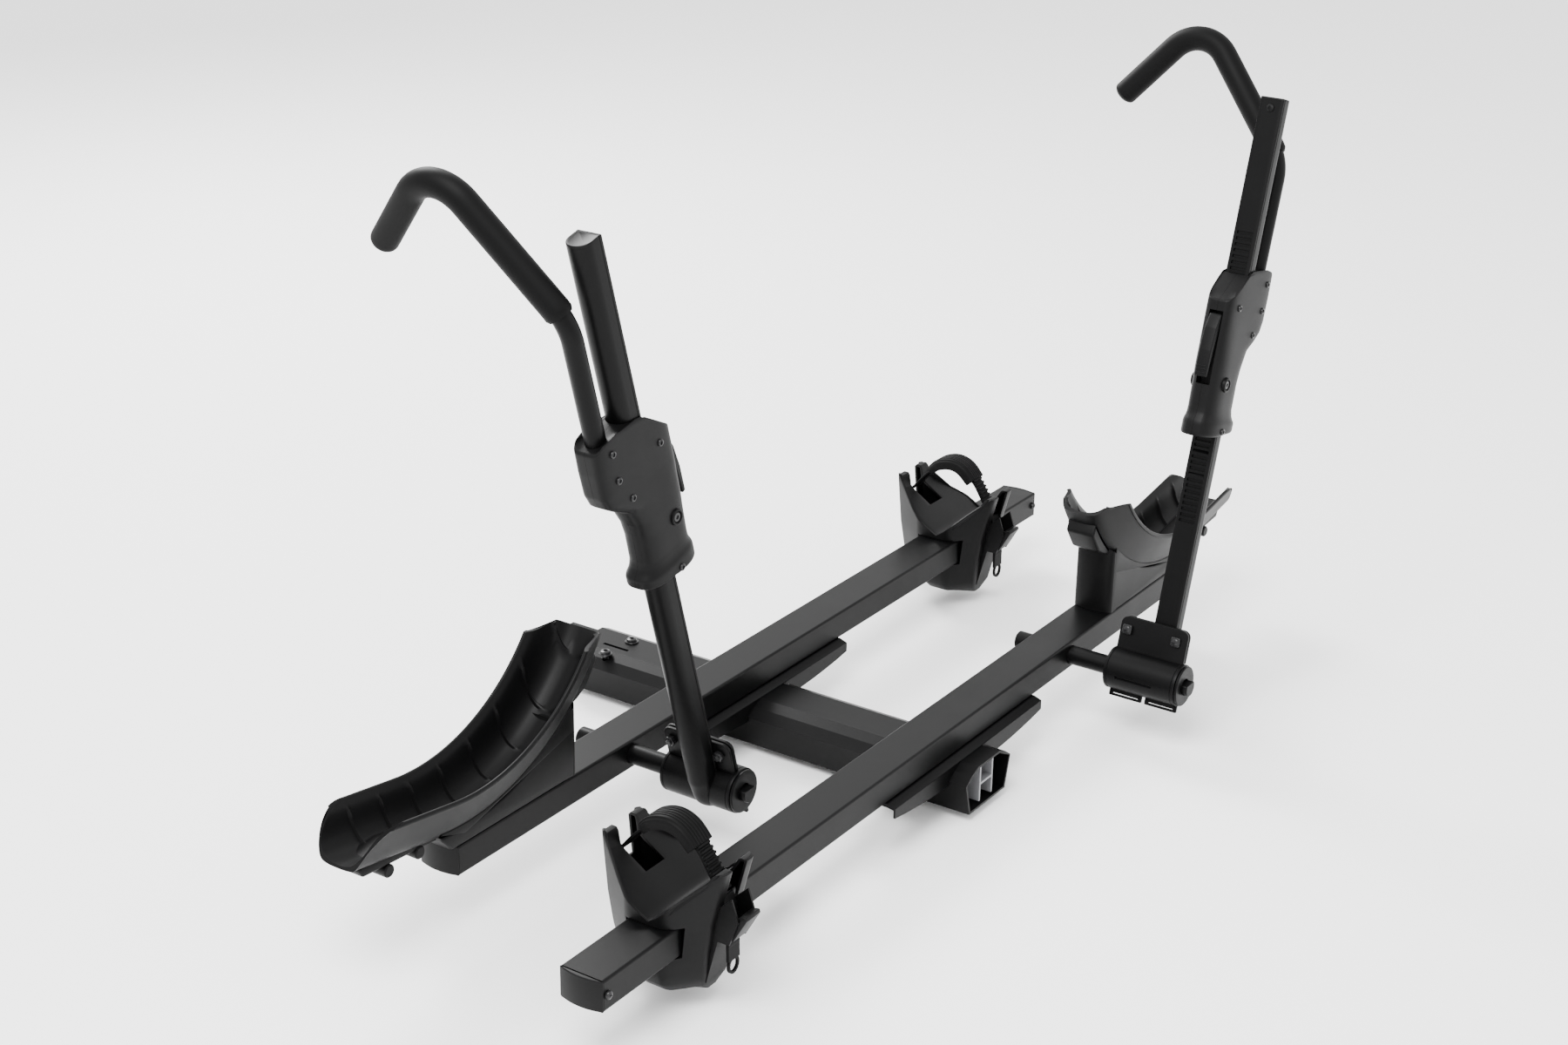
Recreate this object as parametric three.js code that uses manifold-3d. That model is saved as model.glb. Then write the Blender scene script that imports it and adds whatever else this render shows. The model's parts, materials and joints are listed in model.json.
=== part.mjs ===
// Hitch mounted bike rack for two bikes: a spine that plugs into the vehicle, two wheel trays
// across it, and on each tray a fold-down mast with a sliding hook, a wheel cup and a strap holder.
// Millimetres. +X runs along the trays, +Y points at the vehicle, +Z is up.
import * as THREE from 'three';
import { mergeVertices } from 'three/addons/utils/BufferGeometryUtils.js';
import Module from 'manifold-3d';

const wasm = await Module();
wasm.setup();

// ---------------------------------------------------------------- driving dimensions
const GAP = 0.3;                                   // clearance between touching pieces
const TRAY_PITCH = 305;                            // outer tray to inner tray

const tray = { width: 57.15, height: 38, wall: 2, corner: 3, holderEnd: -737, cupEnd: 612 };
const endCap = { bulge: 6.5, flangeGap: 0.3, plug: 26 };
const capScrew = { x: -730.6, head: 4.6, shank: 2, headHeight: 4 };

const spine = {
  start: -66.5, end: 570, wall: 3, bottom: -103.5, halfBottom: 45,
  widest: 56, widestZ: -60, shoulder: 42, shoulderZ: -50, apexZ: -43.5,
};
const hitch = { size: 50.8, wall: 4, faceY: 620, inside: 190 };
const spineBolt = { places: [[12.4, 507], [-40, 512]], head: 7, shank: 4, washer: 9.5 };
const spineSlot = { x: -13, width: 5, from: 494, to: 536 };
const bulkhead = { setBack: 3, depth: 40, web: 3, legHalfGap: 15, legHalfHeight: 24 };
const bracket = { half: 183, sheet: 2.6, halfWidth: 41, lip: 55, belly: 67 };

const pivot = { x: 287, z: -19, radius: 12.7, back: 53, front: -205, flatRadius: 10.5, flat: 5.5 };
const barrel = { radius: 28.5, bore: 13.2, from: -193, to: -90 };
const washer = { radius: 27, thick: 3.4 };
const lean = THREE.MathUtils.degToRad(16.6);       // the masts lean toward the cup end
const plate = { inner: -5, sheet: 4, outer: 0.7, from: -190, to: -93, top: 72, corner: 10 };
const clampBolt = { rows: [-104, -174.5], up: 55, head: 6.5, shank: 4, headHeight: 4.2, nut: 7 };
const tab = { spans: [[-142, -95], [-193, -147]], bottom: -37, slot: 3 };

const mast = { flat: 5, depth: 32, centre: -151, half: 16, wall: 2, foot: -29, top: 768 };
const mastCap = { lip: 3, plug: 16, button: 5, buttonUp: 757 };

const hook = { k: 67.5, radius: 12, wall: 2, sleeve: 16.2, foot: 478, sleeveFrom: 702 };
const hookCorners = [[-151, hook.foot], [-152, 695], [-11, 863], [83.5, 752]];
const hookBends = [65, 48];

const housing = { halfUpper: 20, halfGrip: 22, halfCollar: 25, seam: 0.15, fit: 0.5 };
const lever = { pivotK: -31, pivotUp: 481, tipK: -46, tipUp: 406, half: 8.5, pin: 2.5 };
const lock = { k: -9.5, up: 399, boss: 8.6, plug: 6, front: -174.5, back: -150 };

const holder = { x: -555, halfBody: 66, halfPlus: 30, halfMinus: 26, bottom: -93, endBottom: -54 };
const strap = { x: -558, half: 11, thick: 4, padHalf: 19, padThick: 16 };
const buckle = { half: 16.5, wall: 2.2, leverHalf: 13.8 };

const cup = {
  arcX: 597, arcZ: 317.5, lipRadius: 247, depth: 50, slope: 0.15,
  lipLowEnd: 721, floorLowEnd: 776, lipHighTurn: 52.8, floorHighTurn: 59,
};
const gusset = { wall: 3, half: 28.5, column: 402.5, foot: 623, boss: 8, bosses: [717, 667] };

const ORIGIN = new THREE.Vector3(0, -hitch.faceY, 73.5);   // hitch face centre becomes the origin

// ---------------------------------------------------------------- finishes
const finish = {
  steel: { color: 0x17181a, roughness: 0.45, metalness: 0.35 },
  plastic: { color: 0x1b1c1e, roughness: 0.55, metalness: 0.0 },
  rubber: { color: 0x121212, roughness: 0.85, metalness: 0.0 },
  bolt: { color: 0x202124, roughness: 0.35, metalness: 0.7 },
};

// ---------------------------------------------------------------- outline helpers
function outline(points) {
  const shape = new THREE.Shape();
  shape.setFromPoints(points.map(([x, y]) => new THREE.Vector2(x, y)));
  return shape;
}

function disc(cx, cy, radius) {
  const shape = new THREE.Shape();
  shape.absarc(cx, cy, radius, 0, 2 * Math.PI, false);
  return shape;
}

// a clearance hole whose flats still clear a round of the given radius
function clearDisc(cx, cy, radius, arcSteps) {
  return disc(cx, cy, (radius + GAP) / Math.cos(Math.PI / (2 * arcSteps)));
}

function roundedRect(x0, y0, x1, y1, r) {
  const shape = new THREE.Shape();
  shape.moveTo(x0 + r, y0);
  shape.lineTo(x1 - r, y0);
  shape.absarc(x1 - r, y0 + r, r, -Math.PI / 2, 0, false);
  shape.lineTo(x1, y1 - r);
  shape.absarc(x1 - r, y1 - r, r, 0, Math.PI / 2, false);
  shape.lineTo(x0 + r, y1);
  shape.absarc(x0 + r, y1 - r, r, Math.PI / 2, Math.PI, false);
  shape.lineTo(x0, y0 + r);
  shape.absarc(x0 + r, y0 + r, r, Math.PI, 1.5 * Math.PI, false);
  return shape;
}

// ---------------------------------------------------------------- solid helpers
function solid(geometry) {
  const bare = geometry.clone();
  bare.deleteAttribute('normal');
  bare.deleteAttribute('uv');
  const welded = mergeVertices(bare, 1e-3);
  const mesh = new wasm.Mesh({
    numProp: 3,
    vertProperties: new Float32Array(welded.attributes.position.array),
    triVerts: new Uint32Array(welded.index.array),
  });
  return new wasm.Manifold(mesh);
}

function geometryOf(body) {
  const mesh = body.getMesh();
  const geometry = new THREE.BufferGeometry();
  const positions = new Float32Array(mesh.vertProperties);
  geometry.setAttribute('position', new THREE.BufferAttribute(positions, 3));
  geometry.setIndex(new THREE.BufferAttribute(new Uint32Array(mesh.triVerts), 1));
  return geometry;
}

function extrude(shape, depth, arcSteps) {
  return new THREE.ExtrudeGeometry(shape, { depth, bevelEnabled: false, curveSegments: arcSteps });
}

// outline in (y, z), carried along X
function alongX(shape, x0, x1, arcSteps = 4) {
  const geometry = extrude(shape, x1 - x0, arcSteps);
  const axes = new THREE.Matrix4().makeBasis(
    new THREE.Vector3(0, 1, 0), new THREE.Vector3(0, 0, 1), new THREE.Vector3(1, 0, 0));
  geometry.applyMatrix4(axes);
  geometry.translate(x0, 0, 0);
  return solid(geometry);
}

// outline in (x, z), carried along Y
function alongY(shape, y0, y1, arcSteps = 6) {
  const geometry = extrude(shape, y1 - y0, arcSteps);
  geometry.rotateX(Math.PI / 2);
  geometry.translate(0, y1, 0);
  return solid(geometry);
}

// outline in (x, y), carried along Z
function alongZ(shape, z0, z1, arcSteps = 4) {
  const geometry = extrude(shape, z1 - z0, arcSteps);
  geometry.translate(0, 0, z0);
  return solid(geometry);
}

function box(x0, y0, z0, x1, y1, z1) {
  const geometry = new THREE.BoxGeometry(x1 - x0, y1 - y0, z1 - z0);
  geometry.translate((x0 + x1) / 2, (y0 + y1) / 2, (z0 + z1) / 2);
  return solid(geometry);
}

// profile points are (radius, y), from axis to axis, turned about the Y line through (x, z)
function turnedAboutY(points, x, z, facets = 16) {
  const profile = points.map(([r, y]) => new THREE.Vector2(r, y));
  const geometry = new THREE.LatheGeometry(profile, facets);
  geometry.translate(x, 0, z);
  return solid(geometry);
}

function union(bodies) {
  return bodies.reduce((sum, body) => sum.add(body));
}

// ---------------------------------------------------------------- the mast's own frame
// k points out of the mast's rounded side, y is shared, a runs up the mast from the pivot line
const mastFrame = new THREE.Matrix4().makeBasis(
  new THREE.Vector3(Math.cos(lean), 0, -Math.sin(lean)),
  new THREE.Vector3(0, 1, 0),
  new THREE.Vector3(Math.sin(lean), 0, Math.cos(lean)),
).setPosition(pivot.x, 0, pivot.z);

function leaning(body) {
  const geometry = geometryOf(body);
  geometry.applyMatrix4(mastFrame);
  return geometry;
}

function mastOutline(grow) {
  const { flat, depth, centre, half } = mast;
  const shape = new THREE.Shape();
  const roundK = flat + depth - half;
  shape.moveTo(flat - grow, centre - half - grow);
  shape.lineTo(roundK, centre - half - grow);
  shape.absarc(roundK, centre, half + grow, -Math.PI / 2, Math.PI / 2, false);
  shape.lineTo(flat - grow, centre + half + grow);
  return shape;
}

// ---------------------------------------------------------------- tray
function trayTube() {
  const half = tray.width / 2;
  const shape = roundedRect(-half, -tray.height, half, 0, tray.corner);
  shape.holes.push(roundedRect(
    -half + tray.wall, -tray.height + tray.wall, half - tray.wall, -tray.wall, 1));
  const pivotHole = alongY(clearDisc(pivot.x, pivot.z, pivot.radius, 8), -half - 1, half + 1, 8);
  const screwHole = alongY(clearDisc(capScrew.x, pivot.z, capScrew.shank, 3), -half - 1, 0, 3);
  return geometryOf(alongX(shape, tray.holderEnd, tray.cupEnd, 2)
    .subtract(pivotHole).subtract(screwHole));
}

function endPlug(endX, outward, withScrewHole) {
  const half = tray.width / 2 - 0.2;
  const top = -0.2;
  const face = endX + outward * endCap.flangeGap;
  const shape = new THREE.Shape();
  shape.moveTo(face, -half);
  shape.quadraticCurveTo(face + 2 * outward * endCap.bulge, 0, face, half);
  const flange = alongZ(shape, -tray.height + 0.2, top);
  const inset = tray.wall + GAP;
  const [x0, x1] = [face - outward * endCap.plug, face + outward].sort((p, q) => p - q);
  let plug = box(x0, -half + inset, -tray.height + inset, x1, half - inset, -inset);
  if (withScrewHole) {
    const hole = alongY(clearDisc(capScrew.x, pivot.z, capScrew.shank, 3), -half, -12, 3);
    plug = plug.subtract(hole);
  }
  return geometryOf(flange.add(plug));
}

function trayCapScrew() {
  const seat = -tray.width / 2 - GAP;
  const tip = seat + 14;
  return geometryOf(turnedAboutY([
    [0, seat - capScrew.headHeight],
    [capScrew.head * 0.7, seat - capScrew.headHeight],
    [capScrew.head, seat - 1.5],
    [capScrew.head, seat],
    [capScrew.shank, seat],
    [capScrew.shank, tip],
    [0, tip],
  ], capScrew.x, pivot.z, 12));
}

function spineOutline(grow) {
  const { bottom, halfBottom, widest, widestZ, shoulder, shoulderZ, apexZ } = spine;
  return outline([
    [-halfBottom - grow, bottom - grow],
    [halfBottom + grow, bottom - grow],
    [widest + grow, widestZ],
    [shoulder + grow, shoulderZ + grow],
    [27, apexZ + grow],
    [-27, apexZ + grow],
    [-shoulder - grow, shoulderZ + grow],
    [-widest - grow, widestZ],
  ]);
}

// the spine's outline lies in (x, z) and its length along Y
function trayBracket() {
  const { half, sheet, halfWidth, lip, belly } = bracket;
  const top = -tray.height - GAP;
  const seat = spine.apexZ + GAP;
  const section = outline([
    [-30, top], [30, top], [halfWidth, top - 4], [halfWidth, -belly],
    [halfWidth - sheet, -belly], [halfWidth - sheet, seat - 1.5], [28, seat],
    [-28, seat], [-halfWidth + sheet, seat - 1.5], [-halfWidth + sheet, -belly],
    [-halfWidth, -belly], [-halfWidth, top - 4],
  ]);
  const side = new THREE.Shape();
  side.moveTo(-half, 0);
  side.lineTo(-half, -lip);
  side.quadraticCurveTo(-half * 0.6, -belly, 0, -belly);
  side.quadraticCurveTo(half * 0.6, -belly, half, -lip);
  side.lineTo(half, 0);
  const blank = alongX(section, -half, half).intersect(alongY(side, -60, 60));
  return geometryOf(blank.subtract(alongY(spineOutline(GAP), -60, 60)));
}

// ---------------------------------------------------------------- wheel cup
// One thread of the cup runs straight up the slope from the low end, then round the big arc.
function cupPoint(travel, below) {
  const radius = cup.lipRadius + below;
  const turn = Math.atan(cup.slope);
  if (travel < 0) {
    return [
      cup.arcX + radius * Math.sin(turn) - travel * Math.cos(turn),
      cup.arcZ - radius * Math.cos(turn) - travel * Math.sin(turn),
    ];
  }
  const angle = turn - travel / cup.lipRadius;
  return [cup.arcX + radius * Math.sin(angle), cup.arcZ - radius * Math.cos(angle)];
}

// closed section, half of it: (half width, distance below the lip line)
const cupInside = [[44.5, 0], [38.5, 8], [32, 27], [20, 45], [0, 50]];
const cupOutside = [[47.5, 0], [46.5, 5], [28.6, 44], [22, 53], [0, 54]];

function cupShell() {
  const half = [...cupInside, ...[...cupOutside].reverse()];
  const mirrored = [...half].reverse().map(([y, below]) => [-y, below]);
  const loop = [...half.slice(0, 5), ...mirrored.slice(6, 10)];
  const under = [...mirrored.slice(0, 5), ...half.slice(6, 10)];
  const section = [...loop, ...under];
  const stations = 16;
  const positions = [];
  for (let i = 0; i <= stations; i += 1) {
    for (const [y, below] of section) {
      const sweep = Math.min(1, below / cup.depth);
      const low = -(cup.lipLowEnd - 633 + (cup.floorLowEnd - cup.lipLowEnd) * Math.sqrt(sweep));
      const turned = cup.lipHighTurn + (cup.floorHighTurn - cup.lipHighTurn) * Math.min(1, below / 35);
      const high = cup.lipRadius * (THREE.MathUtils.degToRad(turned) + Math.atan(cup.slope));
      const travel = low * 0.94 + (high - low * 0.94) * (i / stations);
      const [x, z] = cupPoint(travel, below);
      positions.push(x, y, z);
    }
  }
  const index = [];
  const n = section.length;
  for (let i = 0; i < stations; i += 1) {
    for (let j = 0; j < n; j += 1) {
      const a = i * n + j;
      const b = i * n + (j + 1) % n;
      index.push(a, b, a + n, b, b + n, a + n);
    }
  }
  for (let j = 0; j < 8; j += 1) {
    const p = j;
    const q = n - 1 - j;
    const last = stations * n;
    index.push(p, q, p + 1, p + 1, q, q - 1);
    index.push(last + p, last + p + 1, last + q, last + p + 1, last + q - 1, last + q);
  }
  const geometry = new THREE.BufferGeometry();
  geometry.setAttribute('position', new THREE.Float32BufferAttribute(positions, 3));
  geometry.setIndex(index);
  const body = solid(geometry);
  if (body.volume() > 0) {
    return body;
  }
  for (let t = 0; t < index.length; t += 3) {
    [index[t + 1], index[t + 2]] = [index[t + 2], index[t + 1]];
  }
  geometry.setIndex(index);
  return solid(geometry);
}

// side view of the skirt between the trough and the tray; the inset copy is its hollow
function gussetOutline(inset) {
  const foot = gusset.foot - inset;
  const column = gusset.column + inset;
  const radius = cup.lipRadius + cup.depth + 2 + 2 * inset;
  const lastTurn = inset === 0 ? -46 : -38;
  const points = [[column, GAP - 2 * inset], [foot, GAP - 2 * inset]];
  if (inset === 0) {
    points.push([640, 18], [762, 20], [762, 30]);
  }
  for (let turn = 4; turn >= lastTurn; turn -= 6) {
    const angle = THREE.MathUtils.degToRad(turn);
    points.push([cup.arcX + radius * Math.sin(angle), cup.arcZ - radius * Math.cos(angle)]);
  }
  if (inset === 0) {
    points.push([343, 154], [374, 103], [column, 84]);
  } else {
    points.push([column, 72]);
  }
  return outline(points);
}

function wheelCup() {
  const shell = cupShell();
  const skirt = alongY(gussetOutline(0), -gusset.half, gusset.half);
  const hollow = alongY(gussetOutline(gusset.wall), -gusset.half + gusset.wall, gusset.half - gusset.wall);
  const radius = cup.lipRadius + cup.depth;
  const trough = alongY(disc(cup.arcX, cup.arcZ, radius + 0.5), -60, 60, 12);
  const bosses = gusset.bosses.map((x) => alongY(disc(x, 15, gusset.boss), -21, 21, 4));
  const lowCut = alongY(outline([[640, 24], [790, 46], [790, 200], [640, 200]]), -60, 60);
  const keel = skirt.subtract(hollow).subtract(trough).subtract(lowCut);
  return geometryOf(union([shell, keel, ...bosses]));
}

// ---------------------------------------------------------------- pivot and mast
function pivotShaft() {
  const { x, z, radius, back, front, flatRadius, flat } = pivot;
  const shoulder = barrel.from;
  const round = turnedAboutY([
    [0, front], [flatRadius, front], [flatRadius, shoulder], [radius, shoulder],
    [radius, back], [0, back],
  ], x, z, 20);
  const cut = box(x - 20, front - 1, z + flat, x + 20, shoulder, z + 20);
  return geometryOf(round.subtract(cut));
}

function pivotWasher() {
  const { x, z, flatRadius } = pivot;
  const front = barrel.from - GAP;
  const shape = disc(x, z, washer.radius);
  shape.holes.push(clearDisc(x, z, flatRadius, 10));
  return geometryOf(alongY(shape, front - washer.thick, front, 10));
}

function plateOutline(bottom) {
  const { from, to, top, corner } = plate;
  const shape = new THREE.Shape();
  shape.moveTo(from, bottom);
  shape.lineTo(to, bottom);
  shape.lineTo(to, top - corner);
  shape.absarc(to - corner, top - corner, corner, 0, Math.PI / 2, false);
  shape.lineTo(from + corner, top);
  shape.absarc(from + corner, top - corner, corner, Math.PI / 2, Math.PI, false);
  for (const y of clampBolt.rows) {
    shape.holes.push(clearDisc(y, clampBolt.up, clampBolt.shank, 4));
  }
  return shape;
}

function pivotBarrel() {
  const shape = disc(0, 0, barrel.radius);
  shape.holes.push(disc(0, 0, barrel.bore));
  const tube = alongY(shape, barrel.from, barrel.to, 12);
  const bore = alongY(disc(0, 0, barrel.bore), barrel.from - 1, barrel.to + 1, 12);
  const wing = alongX(plateOutline(16), plate.inner, plate.inner + plate.sheet);
  const tabs = tab.spans.map(([y0, y1]) => {
    const foot = roundedRect(y0, tab.bottom, y1, -20, 3);
    const slotFoot = tab.bottom + 2.4;
    foot.holes.push(outline([[y0 + 6, slotFoot], [y1 - 6, slotFoot],
      [y1 - 6, slotFoot + tab.slot], [y0 + 6, slotFoot + tab.slot]]));
    return alongX(foot, plate.inner, plate.inner + plate.sheet, 2);
  });
  return leaning(union([tube, wing, ...tabs]).subtract(bore));
}

function clampPlate() {
  const blank = alongX(plateOutline(16), plate.outer, plate.outer + plate.sheet);
  const clear = alongY(clearDisc(0, 0, barrel.radius, 12), barrel.from - 5, barrel.to + 5, 12);
  return leaning(blank.subtract(clear));
}

function clampBoltAt(y) {
  const { up, head, shank, headHeight, nut } = clampBolt;
  const headBack = plate.inner - GAP;
  const nutFront = plate.outer + plate.sheet + GAP;
  const square = roundedRect(y - head, up - head, y + head, up + head, 2);
  const hex = outline([0, 1, 2, 3, 4, 5].map((side) => [
    y + nut * Math.cos(side * Math.PI / 3), up + nut * Math.sin(side * Math.PI / 3)]));
  return leaning(union([
    alongX(square, headBack - headHeight, headBack),
    alongX(disc(y, up, shank), headBack - 1, nutFront + 9),
    alongX(hex, nutFront, nutFront + 6.5),
  ]));
}

function mastTube() {
  const tube = alongZ(mastOutline(0), mast.foot, mast.top, 8);
  const hollow = alongZ(mastOutline(-mast.wall), mast.foot - 1, mast.top + 1, 8);
  const notch = alongY(clearDisc(0, 0, barrel.radius, 12), barrel.from - 5, barrel.to + 5, 12);
  const button = alongX(clearDisc(mast.centre, mastCap.buttonUp, mastCap.button, 4), 0, 15, 4);
  return leaning(tube.subtract(hollow).subtract(notch).subtract(button));
}

function mastTopCap() {
  const lip = alongZ(mastOutline(-0.2), mast.top + GAP, mast.top + mastCap.lip, 8);
  const plug = alongZ(mastOutline(-mast.wall - GAP), mast.top - mastCap.plug, mast.top + 1, 8);
  const button = alongX(disc(mast.centre, mastCap.buttonUp, mastCap.button), 3, 12, 4);
  return leaning(union([lip, plug, button]));
}

// ---------------------------------------------------------------- hook
function hookPath() {
  const corners = hookCorners.map(([y, a]) => new THREE.Vector3(hook.k, y, a));
  const path = new THREE.CurvePath();
  let start = corners[0];
  for (let i = 1; i < corners.length - 1; i += 1) {
    const into = corners[i].clone().sub(corners[i - 1]).normalize();
    const out = corners[i + 1].clone().sub(corners[i]).normalize();
    const turn = into.angleTo(out);
    const cut = hookBends[i - 1] * Math.tan(turn / 2);
    const pull = (4 / 3) * hookBends[i - 1] * Math.tan(turn / 4);
    const first = corners[i].clone().addScaledVector(into, -cut);
    const last = corners[i].clone().addScaledVector(out, cut);
    path.add(new THREE.LineCurve3(start, first));
    path.add(new THREE.CubicBezierCurve3(
      first, first.clone().addScaledVector(into, pull), last.clone().addScaledVector(out, -pull), last));
    start = last;
  }
  path.add(new THREE.LineCurve3(start, corners.at(-1)));
  return path;
}

function bentTube(outer, inner) {
  const shape = disc(0, 0, outer);
  if (inner > 0) {
    shape.holes.push(disc(0, 0, inner));
  }
  const options = { steps: 20, bevelEnabled: false, curveSegments: 5, extrudePath: hookPath() };
  return solid(new THREE.ExtrudeGeometry(shape, options));
}

function hookTube() {
  return leaning(bentTube(hook.radius, hook.radius - hook.wall));
}

function hookSleeve() {
  const whole = bentTube(hook.sleeve, hook.radius + GAP);
  const keep = box(hook.k - 40, -200, hook.sleeveFrom, hook.k + 40, 150, 950);
  const tip = box(hook.k - 40, 0, 700, hook.k + 40, 150, 950);
  return leaning(whole.intersect(keep.add(tip)));
}

// ---------------------------------------------------------------- sliding hook housing
function housingOutline() {
  const shape = new THREE.Shape();
  shape.moveTo(-39, 328);
  shape.lineTo(57, 338);
  shape.lineTo(57, 356);
  shape.lineTo(45, 366);
  shape.lineTo(46, 420);
  shape.quadraticCurveTo(54, 445, 74, 458);
  shape.quadraticCurveTo(90, 468, 90, 486);
  shape.lineTo(90, 538);
  shape.quadraticCurveTo(84, 552, 61, 553);
  shape.lineTo(5, 545);
  shape.lineTo(-37, 507);
  shape.lineTo(-37, 420);
  shape.lineTo(-34, 356);
  shape.lineTo(-39, 345);
  return shape;
}

function housingBlank() {
  const { centre } = mast;
  const { halfUpper, halfGrip, halfCollar } = housing;
  const outer = halfCollar + 1;
  const body = alongY(housingOutline(), centre - outer, centre + outer);
  const front = outline([
    [centre - halfCollar, 320], [centre + halfCollar, 320],
    [centre + halfCollar, 350], [centre + halfGrip, 364],
    [centre + halfGrip, 405], [centre + halfUpper, 440],
    [centre + halfUpper, 560], [centre - halfUpper, 560],
    [centre - halfUpper, 440], [centre - halfGrip, 405],
    [centre - halfGrip, 364], [centre - halfCollar, 350],
  ]);
  return body.intersect(alongX(front, -60, 120));
}

function housingCavities() {
  const { centre } = mast;
  const passage = alongZ(mastOutline(housing.fit), 300, 600, 8);
  const socket = alongZ(clearDisc(hook.k, centre, hook.radius, 8), hook.foot - GAP, 600, 8);
  const pocket = box(-60, centre - 9.5, 398, -19, centre + 9.5, 491);
  const chamber = box(-20, centre - 7.5, 478, mast.flat, centre + 7.5, 506);
  const plugBore = alongY(clearDisc(lock.k, lock.up, lock.plug, 5), centre - 40, lock.back + GAP, 5);
  const pin = alongY(clearDisc(lever.pivotK, lever.pivotUp, lever.pin, 3), centre - 14, centre + 14, 3);
  return union([passage, socket, pocket, chamber, plugBore, pin]);
}

function housingHalf(side) {
  const { centre } = mast;
  const boss = alongY(disc(lock.k, lock.up, lock.boss), centre - 23.5, centre + 23.5, 5);
  const whole = housingBlank().add(boss).subtract(housingCavities());
  const near = centre + side * housing.seam;
  const far = centre + side * 60;
  const keep = box(-80, Math.min(near, far), 300, 120, Math.max(near, far), 600);
  return leaning(whole.intersect(keep));
}

function releaseLever() {
  const { centre } = mast;
  const { pivotK, pivotUp, tipK, tipUp, half, pin } = lever;
  const shape = new THREE.Shape();
  shape.moveTo(pivotK + 6, pivotUp + 7);
  shape.lineTo(pivotK - 4, pivotUp + 7);
  shape.quadraticCurveTo(pivotK - 13, pivotUp, pivotK - 14, pivotUp - 25);
  shape.lineTo(tipK - 3, tipUp);
  shape.lineTo(tipK + 2, tipUp);
  shape.lineTo(tipK + 6, pivotUp - 25);
  shape.lineTo(pivotK + 6, pivotUp - 8);
  const blade = alongY(shape, centre - half, centre + half, 4);
  const trunnion = alongY(disc(pivotK, pivotUp, pin), centre - 13.5, centre + 13.5, 3);
  const arm = box(pivotK, centre - 6, pivotUp - 1.5, -9, centre + 6, pivotUp + 6);
  return leaning(union([blade, trunnion, arm]));
}

function pawl() {
  const { centre } = mast;
  return leaning(box(-8.7, centre - 6.5, 484, mast.flat - 1.2, centre + 6.5, 500));
}

function lockPlug() {
  const keyway = box(lock.k - 0.8, lock.front - 1, lock.up - 3.5, lock.k + 0.8, lock.front + 3, lock.up + 3.5);
  const plug = alongY(disc(lock.k, lock.up, lock.plug), lock.front, lock.back, 5);
  return leaning(plug.subtract(keyway));
}

// ---------------------------------------------------------------- wheel holder, strap and buckle
function wheelHolder() {
  const { x, halfBody, halfPlus, halfMinus, bottom, endBottom } = holder;
  const section = new THREE.Shape();
  section.moveTo(72, -50);
  section.lineTo(86, 20);
  section.lineTo(88, 70);
  section.lineTo(79, 72);
  section.lineTo(76, 52);
  section.quadraticCurveTo(20, 6, 8, 6);
  section.quadraticCurveTo(-4, 6, -52, 50);
  section.lineTo(-62, 66);
  section.lineTo(-70, 66);
  section.lineTo(-50, -10);
  section.lineTo(-36, bottom);
  section.lineTo(30, bottom);
  const plan = new THREE.Shape();
  plan.moveTo(x - halfBody, -22);
  plan.quadraticCurveTo(x - halfBody, -40, x - halfMinus, -80);
  plan.lineTo(x + halfMinus, -80);
  plan.quadraticCurveTo(x + halfBody, -40, x + halfBody, -22);
  plan.lineTo(x + halfBody, 30);
  plan.quadraticCurveTo(x + halfBody, 50, x + halfPlus, 92);
  plan.lineTo(x - halfPlus, 92);
  plan.quadraticCurveTo(x - halfBody, 50, x - halfBody, 30);
  const hull = new THREE.Shape();
  hull.moveTo(x - 70, endBottom + 3);
  hull.quadraticCurveTo(x - 30, bottom, x, bottom);
  hull.quadraticCurveTo(x + 30, bottom, x + 70, endBottom + 3);
  hull.lineTo(x + 70, 120);
  hull.lineTo(x - 70, 120);
  const body = alongX(section, x - 80, x + 80)
    .intersect(alongZ(plan, -120, 120))
    .intersect(alongY(hull, -100, 110));
  const reach = tray.width / 2 + 0.8;
  const passage = box(x - 80, -reach, -tray.height - 0.8, x + 80, reach, 0.8);
  const lug = box(x - 80, -reach - 6, -31, x + 80, -reach + 1, -18);
  const window = box(x - 17, 41, 24, x + 17, 110, 120);
  const strapGap = box(strap.x - 13.5, -110, 20, strap.x + 13.5, -36, 120);
  const seat = buckle.half + 0.7;
  const strapRun = box(strap.x - seat, -110, -12, strap.x + seat, -51.5, 36);
  const inside = box(x - 45, -30, -120, x + 45, 50, -tray.height - 4);
  return geometryOf([passage, lug, window, strapGap, strapRun, inside]
    .reduce((rest, cut) => rest.subtract(cut), body));
}

// strap centre lines in (y, z): from the anchor over the wheel, then down through the buckle
const strapLine = [[78, 45], [50, 76], [13, 98], [-22, 78], [-42, 50], [-55, 31.5]];
const tailLine = [[-56.8, 28.2], [-62, 10], [-65, -20], [-66, -64]];

function strapRibbon(points, thick, halfWidth) {
  const line = new THREE.CatmullRomCurve3(points.map(([y, z]) => new THREE.Vector3(y, z, 0)));
  const count = points.length * 2;
  const left = [];
  const right = [];
  for (let i = 0; i <= count; i += 1) {
    const at = line.getPoint(i / count);
    const along = line.getTangent(i / count);
    left.push([at.x - along.y * thick / 2, at.y + along.x * thick / 2]);
    right.push([at.x + along.y * thick / 2, at.y - along.x * thick / 2]);
  }
  return alongX(outline([...left, ...right.reverse()]), strap.x - halfWidth, strap.x + halfWidth);
}

function ladderStrap() {
  return geometryOf(strapRibbon(strapLine, strap.thick, strap.half));
}

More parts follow.
